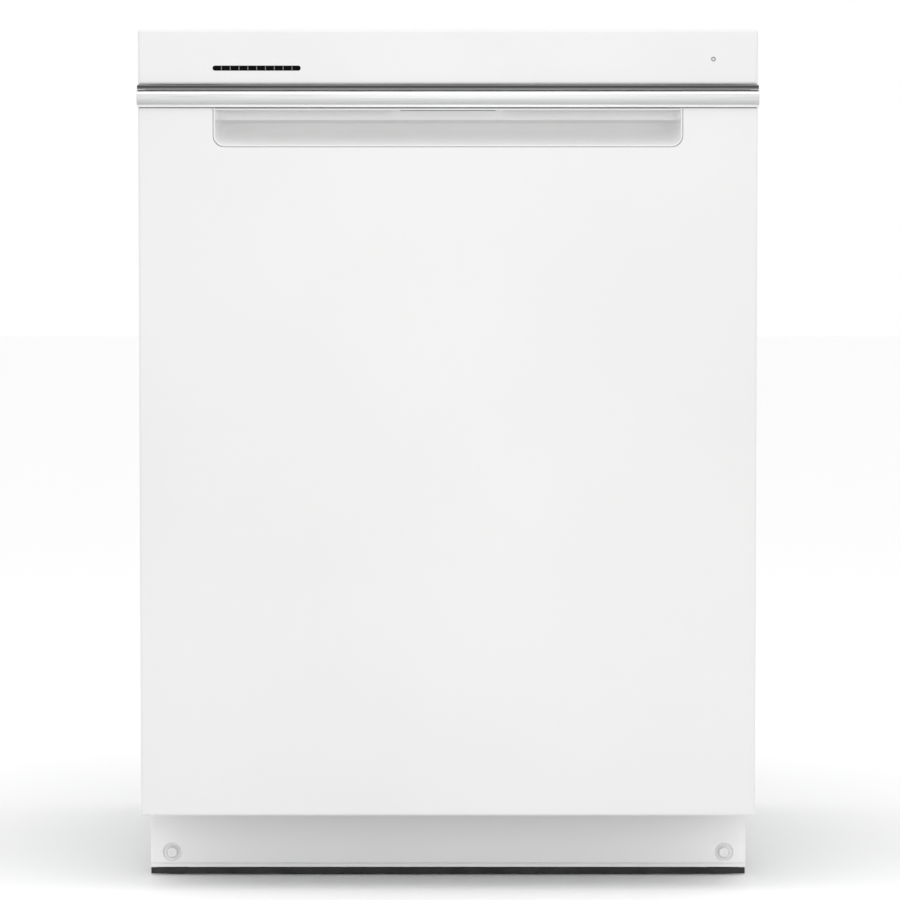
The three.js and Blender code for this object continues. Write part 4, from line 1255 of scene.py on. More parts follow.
class MakeFrame(bpy.types.Operator):
    """Side frames, worktop brackets, strike, rails, feet, springs and spill tray"""

    bl_idname = "dishwasher.frame"
    bl_label = "Frame and feet"

    def execute(self, context):
        for name, side in SIDES:
            paint_node(f"side_frame_{name}", "zinc")
            self.frame_details(name, side)
            self.bracket(name)
            self.rail(name)
            self.spring(name)
            for end in ENDS:
                self.foot(end, name)
        self.tray()
        self.strike()
        return {"FINISHED"}

    def frame_details(self, name, side):
        """Folded stiffening returns and screws on the side sheet."""
        high = limits(f"side_frame_{name}")[1]
        inner = 296.5 * MM * side
        lip = sorted((inner, inner - side * 7 * MM))
        post_back = -216 * MM
        folds = [
            soft_block((lip[0], post_back - 2.2 * MM, 108 * MM), (lip[1], post_back, high.z - 4 * MM),
                       0.5 * MM, 2),
            soft_block((lip[0], -196 * MM, 97.6 * MM), (lip[1], high.y - 32 * MM, 99.8 * MM), 0.5 * MM, 2),
            soft_block((lip[0], high.y - 2.4 * MM, 46 * MM), (lip[1], high.y - 0.2 * MM, 296 * MM),
                       0.5 * MM, 2),
        ]
        fit(join(*folds), f"frame_folds_{name}", "cabinet", "zinc")
        outer = 299 * MM * side
        front_post = [(-231, z) for z in spread(150, 800, 5)]
        foot_rail = [(y, 84) for y in spread(-170, 240, 4)]
        rear_post = [(297, 120), (297, 270)]
        head = in_mm((0, -0.3), (4, -0.3), (3.9, 0.4), (3, 1.3), (1.5, 1.7), (1.2, 0.9), (0, 0.9))
        screws = [stud(head, (outer, y * MM, z * MM), side)
                  for y, z in front_post + foot_rail + rear_post]
        fit(join(*screws), f"frame_screws_{name}", "cabinet", "zinc")

    def bracket(self, name):
        low, high = limits(f"mounting_bracket_{name}")
        thick = 2 * MM
        base = block(low, (high.x, high.y, low.z + thick))
        leg = block(low, (high.x, low.y + thick, high.z))
        tab = block((low.x, low.y, high.z - thick), high)
        for plate in (base, tab):
            bevel_edges(plate, along(2, (1, high.y)), 7 * MM, 5)
        for plate in (base, leg, tab):
            modify(plate, "BEVEL", width=0.4 * MM, segments=2, limit_method="ANGLE")
        y = low.y + (high.y - low.y) * 0.65
        middle = (low.x + high.x) / 2
        cut(tab, disc(3 * MM, -PAST, PAST, (middle, y, high.z)))
        screw = disc(4.5 * MM, 0, 2.4 * MM, (middle, y, low.z + thick - 0.1 * MM), edge=0.8 * MM, sides=24)
        fit(join(base, leg, tab, screw), f"worktop_bracket_{name}", "cabinet", "zinc",
            f"mounting_bracket_{name}")

    def rail(self, name):
        """Rolled channel with an end stop."""
        paint_node(f"rack_rail_{name}", "stainless")
        low, high = limits(f"rack_rail_{name}")
        stop = soft_block((low.x + 1 * MM, low.y - 3 * MM, low.z + 1.5 * MM),
                          (high.x - 1 * MM, low.y + 5 * MM, high.z - 1.5 * MM), 1.2 * MM)
        window = block((low.x - PAST, low.y - PAST, low.z + 5.2 * MM),
                       (high.x + PAST, low.y + 2 * PAST, high.z - 5.2 * MM))
        fit(cut(stop, window), f"rail_stop_{name}", "cabinet", "pale")

    def spring(self, name):
        """Close-wound tension spring with a hook at each end."""
        low, high = limits(f"door_spring_{name}")
        x, z = (low.x + high.x) / 2, (low.z + high.z) / 2
        wire = 1.15 * MM
        radius = 7 * MM - wire
        start, end = low.y + 28 * MM, high.y - 32 * MM
        turns, sides = 62, 12
        coil = []
        for i in range(turns * sides + 1):
            angle = math.tau * i / sides
            along_y = start + (end - start) * i / (turns * sides)
            coil.append(Vector((x + radius * math.cos(angle), along_y, z + radius * math.sin(angle))))
        front_hook = [(x, low.y + wire, z), (x, start - 6 * MM, z), (x + radius, start, z)]
        rear_hook = [(x + radius, end, z), (x, end + 6 * MM, z), (x, high.y - wire, z)]
        paths = [curved(front_hook, 5 * MM), (coil, False), curved(rear_hook, 5 * MM)]
        fit(wires(paths, wire, 1), f"coil_spring_{name}", "cabinet", "zinc", f"door_spring_{name}",
            weighted=False)

    def foot(self, end, name):
        """Levelling foot: ribbed pad, hexagon and rolled thread."""
        node = f"foot_{end}_{name}"
        low, high = limits(node)
        x, y = (low.x + high.x) / 2, (low.y + high.y) / 2
        pad_radius = (high.x - low.x) / 2
        rings = [(0, 0), (pad_radius - 1.5 * MM, 0), (pad_radius, 1.2 * MM), (pad_radius, 3 * MM),
                 (pad_radius - 2.5 * MM, 5.4 * MM), (9 * MM, 6 * MM), (0, 6 * MM)]
        pad = turned(rings, (x, y, low.z), sides=40)
        nut = hexagon(9 * MM, 6.4 * MM, (x, y, low.z + 8.8 * MM))
        modify(nut, "BEVEL", width=0.7 * MM, segments=2, limit_method="NONE")
        pitch, minor, major = 2.0 * MM, 4.3 * MM, 5.0 * MM
        thread = [(0, 11 * MM)]
        z = 11 * MM
        while z < high.z - low.z - pitch:
            thread += [(minor, z), (major, z + pitch * 0.4), (major, z + pitch * 0.6)]
            z += pitch
        thread += [(minor, z), (minor - 0.8 * MM, high.z - low.z), (0, high.z - low.z)]
        stem = turned(thread, (x, y, low.z), sides=20)
        fit(join(pad, nut, stem), f"levelling_{node}", f"leveling_{node}", "dark", node, weighted=False)

    def tray(self):
        low, high = limits("base_tray")
        tray = block(low, high)
        bevel_edges(tray, along(2), 14 * MM, 6)
        bevel_edges(tray, on_plane(2, low.z), 3 * MM, 3)
        delete_faces(tray, facing(2, 1))
        thicken(tray, 2 * MM)
        ribs = [soft_block((x - 1 * MM, low.y + 8 * MM, low.z + 1.4 * MM),
                           (x + 1 * MM, high.y - 8 * MM, low.z + 2.6 * MM), 0.3 * MM, 2)
                for x in spread(low.x + 40 * MM, high.x - 40 * MM, 9)]
        fit(join(tray, *ribs), "spill_tray", "cabinet", "dark", "base_tray")

    def strike(self):
        low, high = limits("door_strike")
        body = soft_block(low, high, 1.6 * MM)
        slot = block((low.x + 8 * MM, low.y - PAST, low.z + 0.6 * MM),
                     (high.x - 8 * MM, high.y + PAST, high.z - 2.4 * MM))
        fit(cut(body, slot), "strike_keeper", "cabinet", "zinc", "door_strike")


class MakeWashGear(bpy.types.Operator):
    """Sump, filter, pumps, valve, junction box, heater, feed tube, float and spray arms"""

    bl_idname = "dishwasher.wash_gear"
    bl_label = "Wash gear"

    def execute(self, context):
        self.sump()
        self.filter()
        self.pumps()
        self.valve_and_box()
        self.heater()
        self.feed()
        self.float_dome()
        self.arm("lower_spray_arm", "lower_arm", 7)
        self.arm("upper_spray_arm", "upper_arm", 6)
        return {"FINISHED"}

    def sump(self):
        low, high = limits("sump")
        centre = ((low.x + high.x) / 2, (low.y + high.y) / 2, 0)
        flange = (high.x - low.x) / 2
        radius = flange - 10 * MM
        inner = radius - 3 * MM
        under = 113.2 * MM
        bowl = turned([(0, low.z), (radius - 14 * MM, low.z), (radius - 4 * MM, low.z + 4 * MM),
                       (radius, low.z + 14 * MM), (radius, under - 3 * MM), (flange, under - 3 * MM),
                       (flange, under), (radius, under), (radius, 115.8 * MM), (inner, 115.8 * MM),
                       (inner, low.z + 14 * MM), (inner - 8 * MM, low.z + 5 * MM),
                       (14 * MM, low.z + 5 * MM), (12 * MM, low.z + 8 * MM), (12 * MM, high.z - 4 * MM),
                       (9 * MM, high.z), (0, high.z)], centre, sides=64)
        lugs = [disc(3.4 * MM, 0, 3.4 * MM, place, edge=0.5 * MM, sides=16)
                for place in circle(centre, flange - 4 * MM, under - 6 * MM, 8, 0.5)]
        fit(join(bowl, *lugs), "sump_bowl", "cabinet", "dark", "sump")
        self.screen(centre, inner)

    def screen(self, centre, radius):
        """Flat filter: two rings joined by fine radial and round bars."""
        cup_low, cup_high = limits("filter_cup")
        cup_x = (cup_low.x + cup_high.x) / 2
        cup_radius = (cup_high.x - cup_low.x) / 2 + 1.6 * MM
        z = 114.6 * MM

        def clear(point):
            return (point - Vector((cup_x, centre[1], z))).length > cup_radius

        runs = []
        for ring_radius in spread(16 * MM, radius - 1.6 * MM, 11):
            ring = circle(centre, ring_radius, z, 64)
            runs.append([])
            for point in ring + ring[:1]:
                if clear(point):
                    runs[-1].append(point)
                else:
                    runs.append([])
        for i in range(36):
            angle = math.tau * i / 36
            spoke = [Vector((centre[0] + r * math.cos(angle), centre[1] + r * math.sin(angle), z))
                     for r in spread(14 * MM, radius - 0.8 * MM, 12)]
            run = [point for point in spoke if clear(point)]
            if len(run) > 1 and (run[0] - run[-1]).length < radius:
                outer = [point for point in spoke[spoke.index(run[-1]) - 1:] if clear(point)]
                runs.append(run if len(run) == len(spoke) else outer)
        paths = [(run, False) for run in runs if len(run) > 1]
        paths.append((circle((cup_x, centre[1]), cup_radius, z, 40), True))
        fit(wires(paths, 0.75 * MM, 1), "filter_screen", "cabinet", "pale", weighted=False)

    def filter(self):
        """Filter cup: ribbed cage with a solid crown and a grip."""
        low, high = limits("filter_cup")
        centre = ((low.x + high.x) / 2, (low.y + high.y) / 2, 0)
        radius = (high.x - low.x) / 2
        crown_z = high.z - 12 * MM
        core = turned([(0, low.z + 1 * MM), (radius - 6 * MM, low.z + 1 * MM), (radius - 3.5 * MM, crown_z),
                       (0, crown_z)], centre, sides=40)
        crown = turned([(0, crown_z), (radius - 1 * MM, crown_z), (radius, crown_z + 1.4 * MM),
                        (radius - 0.6 * MM, high.z - 8 * MM), (0, high.z - 8 * MM)], centre, sides=48)
        lower_ends = circle(centre, radius - 5.2 * MM, low.z + 1 * MM, 20)
        upper_ends = circle(centre, radius - 1.8 * MM, crown_z, 20)
        ribs = [(list(ends), False) for ends in zip(lower_ends, upper_ends)]
        for t in (0.05, 0.35, 0.65, 0.95):
            ring_radius = radius - 5.2 * MM + 3.4 * MM * t
            ribs.append((circle(centre, ring_radius, low.z + 1 * MM + (crown_z - low.z) * t, 40), True))
        cage = wires(ribs, 0.9 * MM, 1)
        grip = soft_block((centre[0] - 3 * MM, low.y + 5 * MM, high.z - 9 * MM),
                          (centre[0] + 3 * MM, high.y - 5 * MM, high.z), 1.4 * MM, 4)
        fit(join(crown, core, cage, grip), "filter_cage", "filter", "blue", "filter_cup")

    def pumps(self):
        low, high = limits("circulation_pump")
        y, z = (low.y + high.y) / 2, (low.z + high.z) / 2
        wash = turned([(0, low.x), (22 * MM, low.x), (25 * MM, low.x + 4 * MM), (25 * MM, low.x + 26 * MM),
                       (21 * MM, low.x + 31 * MM), (20 * MM, low.x + 34 * MM)]
                      + self.fins(low.x + 36 * MM, low.x + 92 * MM, 20 * MM, 17.5 * MM)
                      + [(22 * MM, high.x - 9 * MM), (22 * MM, high.x - 2 * MM), (19 * MM, high.x),
                         (0, high.x)], (0, y, z), "X", 40)
        fit(wash, "wash_pump", "cabinet", "dark", "circulation_pump")
        low, high = limits("drain_pump")
        y, z = (low.y + high.y) / 2, (low.z + high.z) / 2
        drain = turned([(0, low.x), (12 * MM, low.x), (15 * MM, low.x + 3 * MM)]
                       + self.fins(low.x + 8 * MM, low.x + 50 * MM, 15 * MM, 13 * MM)
                       + [(15 * MM, low.x + 55 * MM), (20 * MM, low.x + 58 * MM),
                          (20 * MM, high.x - 3 * MM), (17 * MM, high.x), (0, high.x)], (0, y, z), "X", 36)
        fit(drain, "waste_pump", "cabinet", "dark", "drain_pump")

    def fins(self, start, end, outer, inner):
        """Ring points of a stack of cooling fins."""
        points = []
        count = 7
        pitch = (end - start) / count
        for i in range(count):
            x = start + i * pitch
            points += [(inner, x), (outer, x + 0.1 * pitch), (outer, x + 0.6 * pitch),
                       (inner, x + 0.7 * pitch)]
        return points

    def valve_and_box(self):
        low, high = limits("inlet_valve")
        body = soft_block((low.x, low.y + 20 * MM, low.z), (high.x, high.y, low.z + 35.4 * MM), 3 * MM)
        middle = (low.x + high.x) / 2
        thread = in_mm((0, 0), (7, 0), (7, 1))
        for i in range(6):
            thread += [(10 * MM, (1.4 + i * 2.6) * MM), (10 * MM, (2.6 + i * 2.6) * MM),
                       (9 * MM, (3.6 + i * 2.6) * MM)]
        thread += in_mm((10, 20), (10, 22), (0, 22))
        inlet = turned(thread, (middle, low.y, low.z + 17.4 * MM), "Y", 32)
        bobbin = in_mm((0, 0), (12, 0), (12, 4), (10.6, 5), (10.6, 24), (12, 25), (12, 29.4), (5, 29.8),
                       (4, 30), (0, 30))
        coil = turned(bobbin, (middle, high.y - 15 * MM, low.z + 35 * MM), sides=32)
        fit(join(body, inlet, coil), "fill_valve", "cabinet", "pale", "inlet_valve")
        low, high = limits("junction_box")
        case = soft_block((low.x + 3 * MM, low.y + 3 * MM, low.z), (high.x - 3 * MM, high.y, high.z - 4 * MM),
                          1.5 * MM)
        cover = soft_block(low, (high.x, low.y + 2.6 * MM, high.z), 0.8 * MM)
        screw = disc(4 * MM, -0.6 * MM, 1 * MM,
                     ((low.x + high.x) / 2, low.y, high.z - 10 * MM), "Y", 0.4 * MM, 24)
        knock_out = turned(in_mm((6, 0), (10, 0), (10, 1.5), (6, 1.5)),
                           (high.x - 3.4 * MM, (low.y + high.y) / 2, (low.z + high.z) / 2), "X", 28, True)
        fit(join(case, cover, screw, knock_out), "terminal_box", "cabinet", "zinc", "junction_box")

    def heater(self):
        floor = limits("heater_element")[0].z
        sump_low, sump_high = limits("sump")
        y0 = (sump_low.y + sump_high.y) / 2
        z, radius = 126 * MM, 205 * MM
        angles = [math.radians(degrees) for degrees in spread(-80, 260, 97)]
        path = [Vector((radius * math.cos(angle), y0 + radius * math.sin(angle), z)) for angle in angles]
        ends = []
        for end, step in ((path[0], -1), (path[-1], 1)):
            ends.append(Vector((end.x + step * 5 * MM, end.y, z - 1 * MM)))
            ends.append(Vector((end.x + step * 6 * MM, end.y, floor)))
        path = [ends[1], ends[0]] + path + [ends[2], ends[3]]
        rod = wires([(path, False)], 3.6 * MM, 3)
        gland = in_mm((4, 0), (8, 0), (8, 2.4), (5.6, 5), (4, 5))
        glands = [turned(gland, (end.x, end.y, floor), "Z", 28, True) for end in (ends[1], ends[3])]
        clips = []
        for degrees in (0, 60, 120, 180):
            angle = math.radians(degrees)
            x, y = radius * math.cos(angle), y0 + radius * math.sin(angle)
            clips.append(soft_block((x - 3 * MM, y - 6 * MM, floor), (x + 3 * MM, y + 6 * MM, z - 2 * MM),
                                    1 * MM))
        fit(rod, "heater_rod", "cabinet", "heater", "heater_element", weighted=False)
        fit(join(*glands, *clips), "heater_clips", "cabinet", "zinc")

    def feed(self):
        low, high = limits("feed_tube")
        duct = soft_block((low.x, high.y - 16 * MM, low.z), high, 4.5 * MM, 4)
        nozzle_z = high.z - 16 * MM
        spout = in_mm((5, 0), (7, 0), (8, 1.5), (8, 6), (6.8, 7), (6.8, 31), (5, 31))
        nozzle = turned(spout, (0, low.y, nozzle_z), "Y", 32, True)
        collars = [soft_block((low.x - 5 * MM, high.y - 18 * MM, z - 5 * MM),
                              (high.x + 5 * MM, high.y - 0.4 * MM, z + 5 * MM), 2 * MM)
                   for z in spread(low.z + 60 * MM, high.z - 70 * MM, 3)]
        fit(join(duct, nozzle, *collars), "feed_duct", "cabinet", "pale", "feed_tube")

    def float_dome(self):
        low, high = limits("float_dome")
        centre = ((low.x + high.x) / 2, (low.y + high.y) / 2, low.z)
        dome = in_mm((0, 0), (22, 0), (23.6, 2), (23.6, 5), (22, 7), (21, 24), (18, 30), (12, 34),
                     (5, 35.6), (0, 36))
        fit(turned(dome, centre, sides=40), "float_cap", "overfill_float", "pale", "float_dome", angle=50)

    def arm(self, node, body, jets):
        """Spray arm: crowned blade, tapered and slightly twisted, with a hub and angled jets."""
        low, high = limits(node)
        centre = (low + high) / 2
        reach = (high.x - low.x) / 2
        hub = (high.y - low.y) / 2
        base, top = low.z + 3.5 * MM, high.z - 3.6 * MM
        half_width = 22 * MM
        blade = block((-reach, -half_width, base), (reach, half_width, top))
        divide(blade, 0, 47)
        divide(blade, 1, 9)
        divide(blade, 2, 3)

        def crown(point):
            t = abs(point.x) / reach
            tip = math.sqrt(max(0.0, 1 - max(0.0, (t - 0.93) / 0.07) ** 2))
            width = (1 - 0.36 * t) * max(0.22, tip)
            across = point.y / half_width
            middle = (base + top) / 2
            belly = math.sqrt(max(0.0, 1 - 0.78 * across ** 2))
            thick = belly * (1 - 0.42 * t) * (0.45 + 0.55 * tip)
            tilt = 0.09 * (1 if point.x > 0 else -1) * min(1, t * 4)
            y = point.y * width
            return Vector((point.x, y, middle + (point.z - middle) * thick + y * tilt))

        reshape(blade, crown)
        blade.location = (centre.x, centre.y, 0)
        activate(blade)
        bpy.ops.object.transform_apply(location=True, rotation=False, scale=False)
        boss = turned([(0, low.z), (hub * 0.6, low.z), (hub * 0.82, low.z + 2 * MM), (hub, base),
                       (hub, top - 1 * MM), (hub * 0.9, top + 1 * MM), (hub * 0.42, high.z - 0.6 * MM),
                       (hub * 0.3, high.z), (0, high.z)], (centre.x, centre.y, 0), sides=44)
        parts = [blade, boss]
        jet = in_mm((1.4, -0.6), (4.4, -0.6), (3.6, 0.9), (1.9, 1.2), (1.4, 0.3))
        for side in (-1, 1):
            for i, x in enumerate(spread(reach * 0.24, reach * 0.93, jets)):
                offset = (4 if i % 2 else -3.5) * MM * side
                t = x / reach
                surface = (base + top) / 2 + (top - base) / 2 * (1 - 0.42 * t) * 0.95
                place = (centre.x + side * x, centre.y + offset, surface - 0.6 * MM)
                parts.append(turned(jet, place, "Z", 20, True))
        fit(join(*parts), f"{node}_blade", body, "pale", node, angle=42, weighted=False)


# ------------------------------------------------------------------ racks


class MakeRacks(bpy.types.Operator):
    """Coated wire racks with their wheels, folding tines, cup shelf and silverware basket"""

    bl_idname = "dishwasher.racks"
    bl_label = "Racks"

    def execute(self, context):
        self.lower_rack()
        self.upper_rack()
        self.fold_tines()
        self.cup_shelf()
        self.basket()
        for name, _ in SIDES:
            for end in ENDS:
                self.wheel(end, name)
        return {"FINISHED"}

    def basket_paths(self, low, high, across, deep, lean, rise):
        """Bent wires both ways, from one top rail down, over the floor and up to the other."""
        paths = []
        for x in spread(low.x + 24 * MM, high.x - 24 * MM, across):
            corners = [(x, low.y, high.z), (x, low.y + lean, low.z), (x, high.y - lean, low.z),
                       (x, high.y, high.z)]
            paths.append(curved(corners, 20 * MM, 5))
        for y in spread(low.y + 30 * MM, high.y - 30 * MM, deep):
            corners = [(low.x, y, high.z), (low.x + lean, y, low.z + rise),
                       (high.x - lean, y, low.z + rise), (high.x, y, high.z)]
            paths.append(curved(corners, 20 * MM, 5))
        return paths

    def rail_loop(self, low, high, z, inset=0.0, corner=26):
        corners = [(low.x + inset, low.y + inset, z), (high.x - inset, low.y + inset, z),
                   (high.x - inset, high.y - inset, z), (low.x + inset, high.y - inset, z)]
        return bent(corners, corner * MM, 6, True), True

    def rack(self, low, high, across, deep, lean, rise):
        size = sizes()
        fine = wires(self.basket_paths(low, high, across, deep, lean, rise), size.wire)
        middle = low.z + (high.z - low.z) * 0.48
        part = (high.z - middle) / (high.z - low.z)
        loops = [self.rail_loop(low, high, high.z),
                 self.rail_loop(low, high, middle, lean * part + 1.5 * MM),
                 self.rail_loop(low, high, low.z - 3.0 * MM, lean + 12 * MM)]
        heavy = wires(loops, size.rail_wire)
        return fine, heavy

    def lower_rack(self):
        low, high = limits("lower_rack")
        wheel_low, wheel_high = limits("wheel_front_right")
        axle = (wheel_low.z + wheel_high.z) / 2
        floor = 170 * MM
        half = 250 * MM - sizes().wire
        box_low = Vector((-half, low.y + 2.6 * MM, floor))
        box_high = Vector((half, high.y - 2.6 * MM, high.z - 2.6 * MM))
        fine, heavy = self.rack(box_low, box_high, 15, 13, 9 * MM, -3.4 * MM)
        legs = []
        for name, side in SIDES:
            for end in ENDS:
                one_low, one_high = limits(f"wheel_{end}_{name}")
                y = (one_low.y + one_high.y) / 2
                inner = side * 246 * MM
                top = inner - side * 4 * MM
                legs.append(curved([(top, y - 40 * MM, floor - 1 * MM), (inner, y - 12 * MM, floor - 6 * MM),
                                    (inner, y, axle), (inner, y + 12 * MM, floor - 6 * MM),
                                    (top, y + 40 * MM, floor - 1 * MM)], 8 * MM))
                legs.append(straight((inner - side * 3 * MM, y, axle), (side * 263 * MM, y, axle)))
        stand = wires(legs, 2.2 * MM)
        tines = self.standing_tines(floor, box_low.y, 58 * MM)
        fit(join(fine, heavy, stand, tines), "lower_rack_wires", "lower_basket", "wire", "lower_rack",
            weighted=False)
        self.handle(box_low, box_high)

    def standing_tines(self, floor, front, height):
        """Two fixed rows of bent plate tines."""
        paths = []
        for y in (front + 120 * MM, front + 205 * MM):
            paths.append(straight((-236 * MM, y, floor + 3.2 * MM), (236 * MM, y, floor + 3.2 * MM)))
            for x in spread(-208 * MM, 208 * MM, 13):
                paths.append(curved([(x, y, floor + 3 * MM), (x, y - 4 * MM, floor + height * 0.55),
                                     (x, y, floor + height)], 10 * MM))
        return wires(paths, 1.7 * MM, 1)

    def handle(self, low, high):
        """Grip moulding clipped over the front of the top rail."""
        z = high.z
        grip = soft_block((-85 * MM, low.y - 2.2 * MM, z - 20 * MM),
                          (85 * MM, low.y + 4.2 * MM, z + 1.6 * MM), 2.4 * MM, 4)
        grooves = [soft_block((-70 * MM, low.y - 6 * MM, z - (7 + 4 * i) * MM),
                              (70 * MM, low.y - 1.4 * MM, z - (5.4 + 4 * i) * MM), 0.4 * MM, 2)
                   for i in range(3)]
        fit(cut(grip, *grooves), "lower_rack_grip", "lower_basket", "pale")

    def upper_rack(self):
        low, high = limits("upper_rack")
        half = 245 * MM - sizes().wire
        box_low = Vector((-half, low.y + 2.6 * MM, 470 * MM))
        box_high = Vector((half, high.y - 2.6 * MM, high.z - 2.6 * MM))
        fine, heavy = self.rack(box_low, box_high, 17, 13, 7 * MM, 3.4 * MM)
        rows = []
        z = 473.6 * MM
        for x in (-52 * MM, 48 * MM, 138 * MM):
            rows.append(straight((x, box_low.y + 26 * MM, z), (x, box_high.y - 26 * MM, z)))
            for y in spread(box_low.y + 40 * MM, box_high.y - 40 * MM, 11):
                rows.append(curved([(x, y, 473 * MM), (x + 5 * MM, y, 500 * MM), (x, y, 522 * MM)], 9 * MM))
        tines = wires(rows, 1.7 * MM, 1)
        fit(join(fine, heavy, tines), "upper_rack_wires", "upper_basket", "wire", "upper_rack",
            weighted=False)
        self.runners()
        self.supply_pipe(box_high.y)

    def runners(self):
        """Side runners with rollers that travel in the tub's rails."""
        parts = []
        for _, side in SIDES:
            left, right = sorted((side * 246 * MM, side * 257.6 * MM))
            parts.append(soft_block((left, -215 * MM, 505 * MM), (right, 215 * MM, 515 * MM), 1.2 * MM))
            for y in (-200 * MM, 200 * MM):
                roller = (side * 254 * MM, y, 510 * MM)
                parts.append(disc(7.5 * MM, -1.5 * MM, 1.5 * MM, roller, "X", 0.6 * MM, 28))
            left, right = sorted((side * 240 * MM, side * 248 * MM))
            for y in (-150 * MM, 0, 150 * MM):
                parts.append(soft_block((left, y - 8 * MM, 498 * MM), (right, y + 8 * MM, 540 * MM), 2 * MM))
        fit(join(*parts), "rack_runners", "upper_basket", "pale")

    def supply_pipe(self, back):
        """Pipe under the rack floor, from the docking end at the back to the upper arm's hub."""
        arm_low, arm_high = limits("upper_spray_arm")
        y = (arm_low.y + arm_high.y) / 2
        z = arm_high.z + 3.2 * MM
        pipe = soft_block((-8 * MM, y - 6 * MM, z - 2.8 * MM), (8 * MM, back + 4 * MM, z + 2.8 * MM),
                          2.2 * MM, 4)
        dock = disc(7.4 * MM, -6 * MM, 8 * MM, (0, back + 4 * MM, arm_high.z + 4.5 * MM), "Y", 1 * MM, 28)
        saddle = soft_block((-13 * MM, y + 60 * MM, z - 2 * MM), (13 * MM, y + 84 * MM, z + 6 * MM), 2 * MM)
        fit(join(pipe, dock, saddle), "supply_pipe", "upper_basket", "pale")

    def fold_tines(self):
        low, high = limits("fold_tines")
        y, z = (low.y + high.y) / 2, low.z + 3 * MM
        paths = [straight((low.x, y, z), (high.x, y, z))]
        for x in spread(low.x + 8 * MM, high.x - 8 * MM, sizes().tines):
            paths.append(curved([(x, y, z), (x, y + 1 * MM, z + 40 * MM), (x, y - 1 * MM, high.z - 2 * MM)],
                                16 * MM))
        tines = wires(paths, 1.9 * MM, 2)
        latches = [disc(4.4 * MM, -4 * MM, 4 * MM, (x, y, z), "X", 1 * MM, 24)
                   for x in (low.x + 20 * MM, 0, high.x - 20 * MM)]
        fit(join(tines, *latches), "tine_row", "plate_tines", "wire", "fold_tines", weighted=False)

    def cup_shelf(self):
        low, high = limits("cup_shelf")
        z = (low.z + high.z) / 2
        hinge_x = low.x + 3 * MM
        corners = [(hinge_x, low.y + 3 * MM, z), (high.x - 2 * MM, low.y + 3 * MM, z),
                   (high.x - 2 * MM, high.y - 3 * MM, z), (hinge_x, high.y - 3 * MM, z)]
        heavy = [curved(corners, 14 * MM, 6),
                 straight((hinge_x, low.y + 1 * MM, z), (hinge_x, high.y - 1 * MM, z))]
        fine = [straight((hinge_x, y, z), (high.x - 2 * MM, y, z))
                for y in spread(low.y + 24 * MM, high.y - 24 * MM, 12)]
        fine += [straight((x, low.y + 4 * MM, z + 1.6 * MM), (x, high.y - 4 * MM, z + 1.6 * MM))
                 for x in (hinge_x + 24 * MM, high.x - 24 * MM)]
        fit(join(wires(heavy, 2.3 * MM), wires(fine, 1.5 * MM, 1)), "shelf_wires", "shelf", "wire",
            "cup_shelf", weighted=False)

    def basket(self):
        """Latticed cells between solid rims, with a carrying handle."""
        low, high = limits("silverware_basket")
        wall = 2.4 * MM
        cells = 4
        pitch = (high.x - low.x - wall) / cells
        cage = block((low.x + wall / 2, low.y + wall / 2, low.z + wall / 2),
                     (high.x - wall / 2, high.y - wall / 2, high.z - 10 * MM))
        divide(cage, 0, 39)
        divide(cage, 1, 5)
        divide(cage, 2, 9)
        delete_faces(cage, facing(2, 1))
        modify(cage, "WIREFRAME", thickness=2.0 * MM, use_even_offset=False, use_boundary=True)
        parts = [cage]
        for i in range(1, cells):
            x = low.x + wall / 2 + i * pitch
            divider = block((x - 0.02 * MM, low.y + wall, low.z + wall),
                            (x + 0.02 * MM, high.y - wall, high.z - 10 * MM))
            divide(divider, 1, 5)
            divide(divider, 2, 9)
            delete_faces(divider, lambda f: not facing(0, 1)(f))
            modify(divider, "WIREFRAME", thickness=1.8 * MM, use_even_offset=False, use_boundary=True)
            parts.append(divider)
            parts.append(soft_block((x - 1.4 * MM, low.y + 1 * MM, high.z - 14 * MM),
                                    (x + 1.4 * MM, high.y - 1 * MM, high.z - 1 * MM), 0.8 * MM))
        rim = block((low.x, low.y, high.z - 14 * MM), high)
        bevel_edges(rim, along(2), 6 * MM, 5)
        hole = block((low.x + 2.6 * MM, low.y + 2.6 * MM, high.z - 3 * PAST),
                     (high.x - 2.6 * MM, high.y - 2.6 * MM, high.z + PAST))
        bevel_edges(hole, along(2), 4 * MM, 5)
        cut(rim, hole)
        modify(rim, "BEVEL", width=0.7 * MM, segments=2, limit_method="ANGLE", angle_limit=math.radians(60))
        parts.append(rim)
        fit(join(*parts), "silverware_lattice", "lower_basket", "pale", "silverware_basket", weighted=False)

    def wheel(self, end, name):
        """Rack wheel with a tread, a recessed web, a hub cap and lightening holes."""
        node = f"wheel_{end}_{name}"
        low, high = limits(node)
        y, z = (low.y + high.y) / 2, (low.z + high.z) / 2
        radius = (high.z - low.z) / 2
        width = high.x - low.x
        tyre = [(3.1 * MM, 0), (5.4 * MM, 0), (6 * MM, 2.6 * MM), (radius - 4.4 * MM, 2.6 * MM),
                (radius - 3.6 * MM, 0.2 * MM), (radius - 0.8 * MM, 0), (radius, 0.8 * MM),
                (radius, width - 0.8 * MM), (radius - 0.8 * MM, width), (radius - 3.6 * MM, width - 0.2 * MM),
                (radius - 4.4 * MM, width - 2.6 * MM), (6 * MM, width - 2.6 * MM), (5.4 * MM, width),
                (3.1 * MM, width)]
        wheel = turned(tyre, (low.x, y, z), "X", 48, True)
        for angle in spread(0, math.tau * 5 / 6, 6):
            place = (low.x, y + 9 * MM * math.cos(angle), z + 9 * MM * math.sin(angle))
            cut(wheel, disc(1.9 * MM, -PAST, 2 * PAST, place, "X", 0.1 * MM, 16))
        fit(wheel, f"rack_{node}", f"rack_{node}", "pale", node)


# ------------------------------------------------------------------ stage


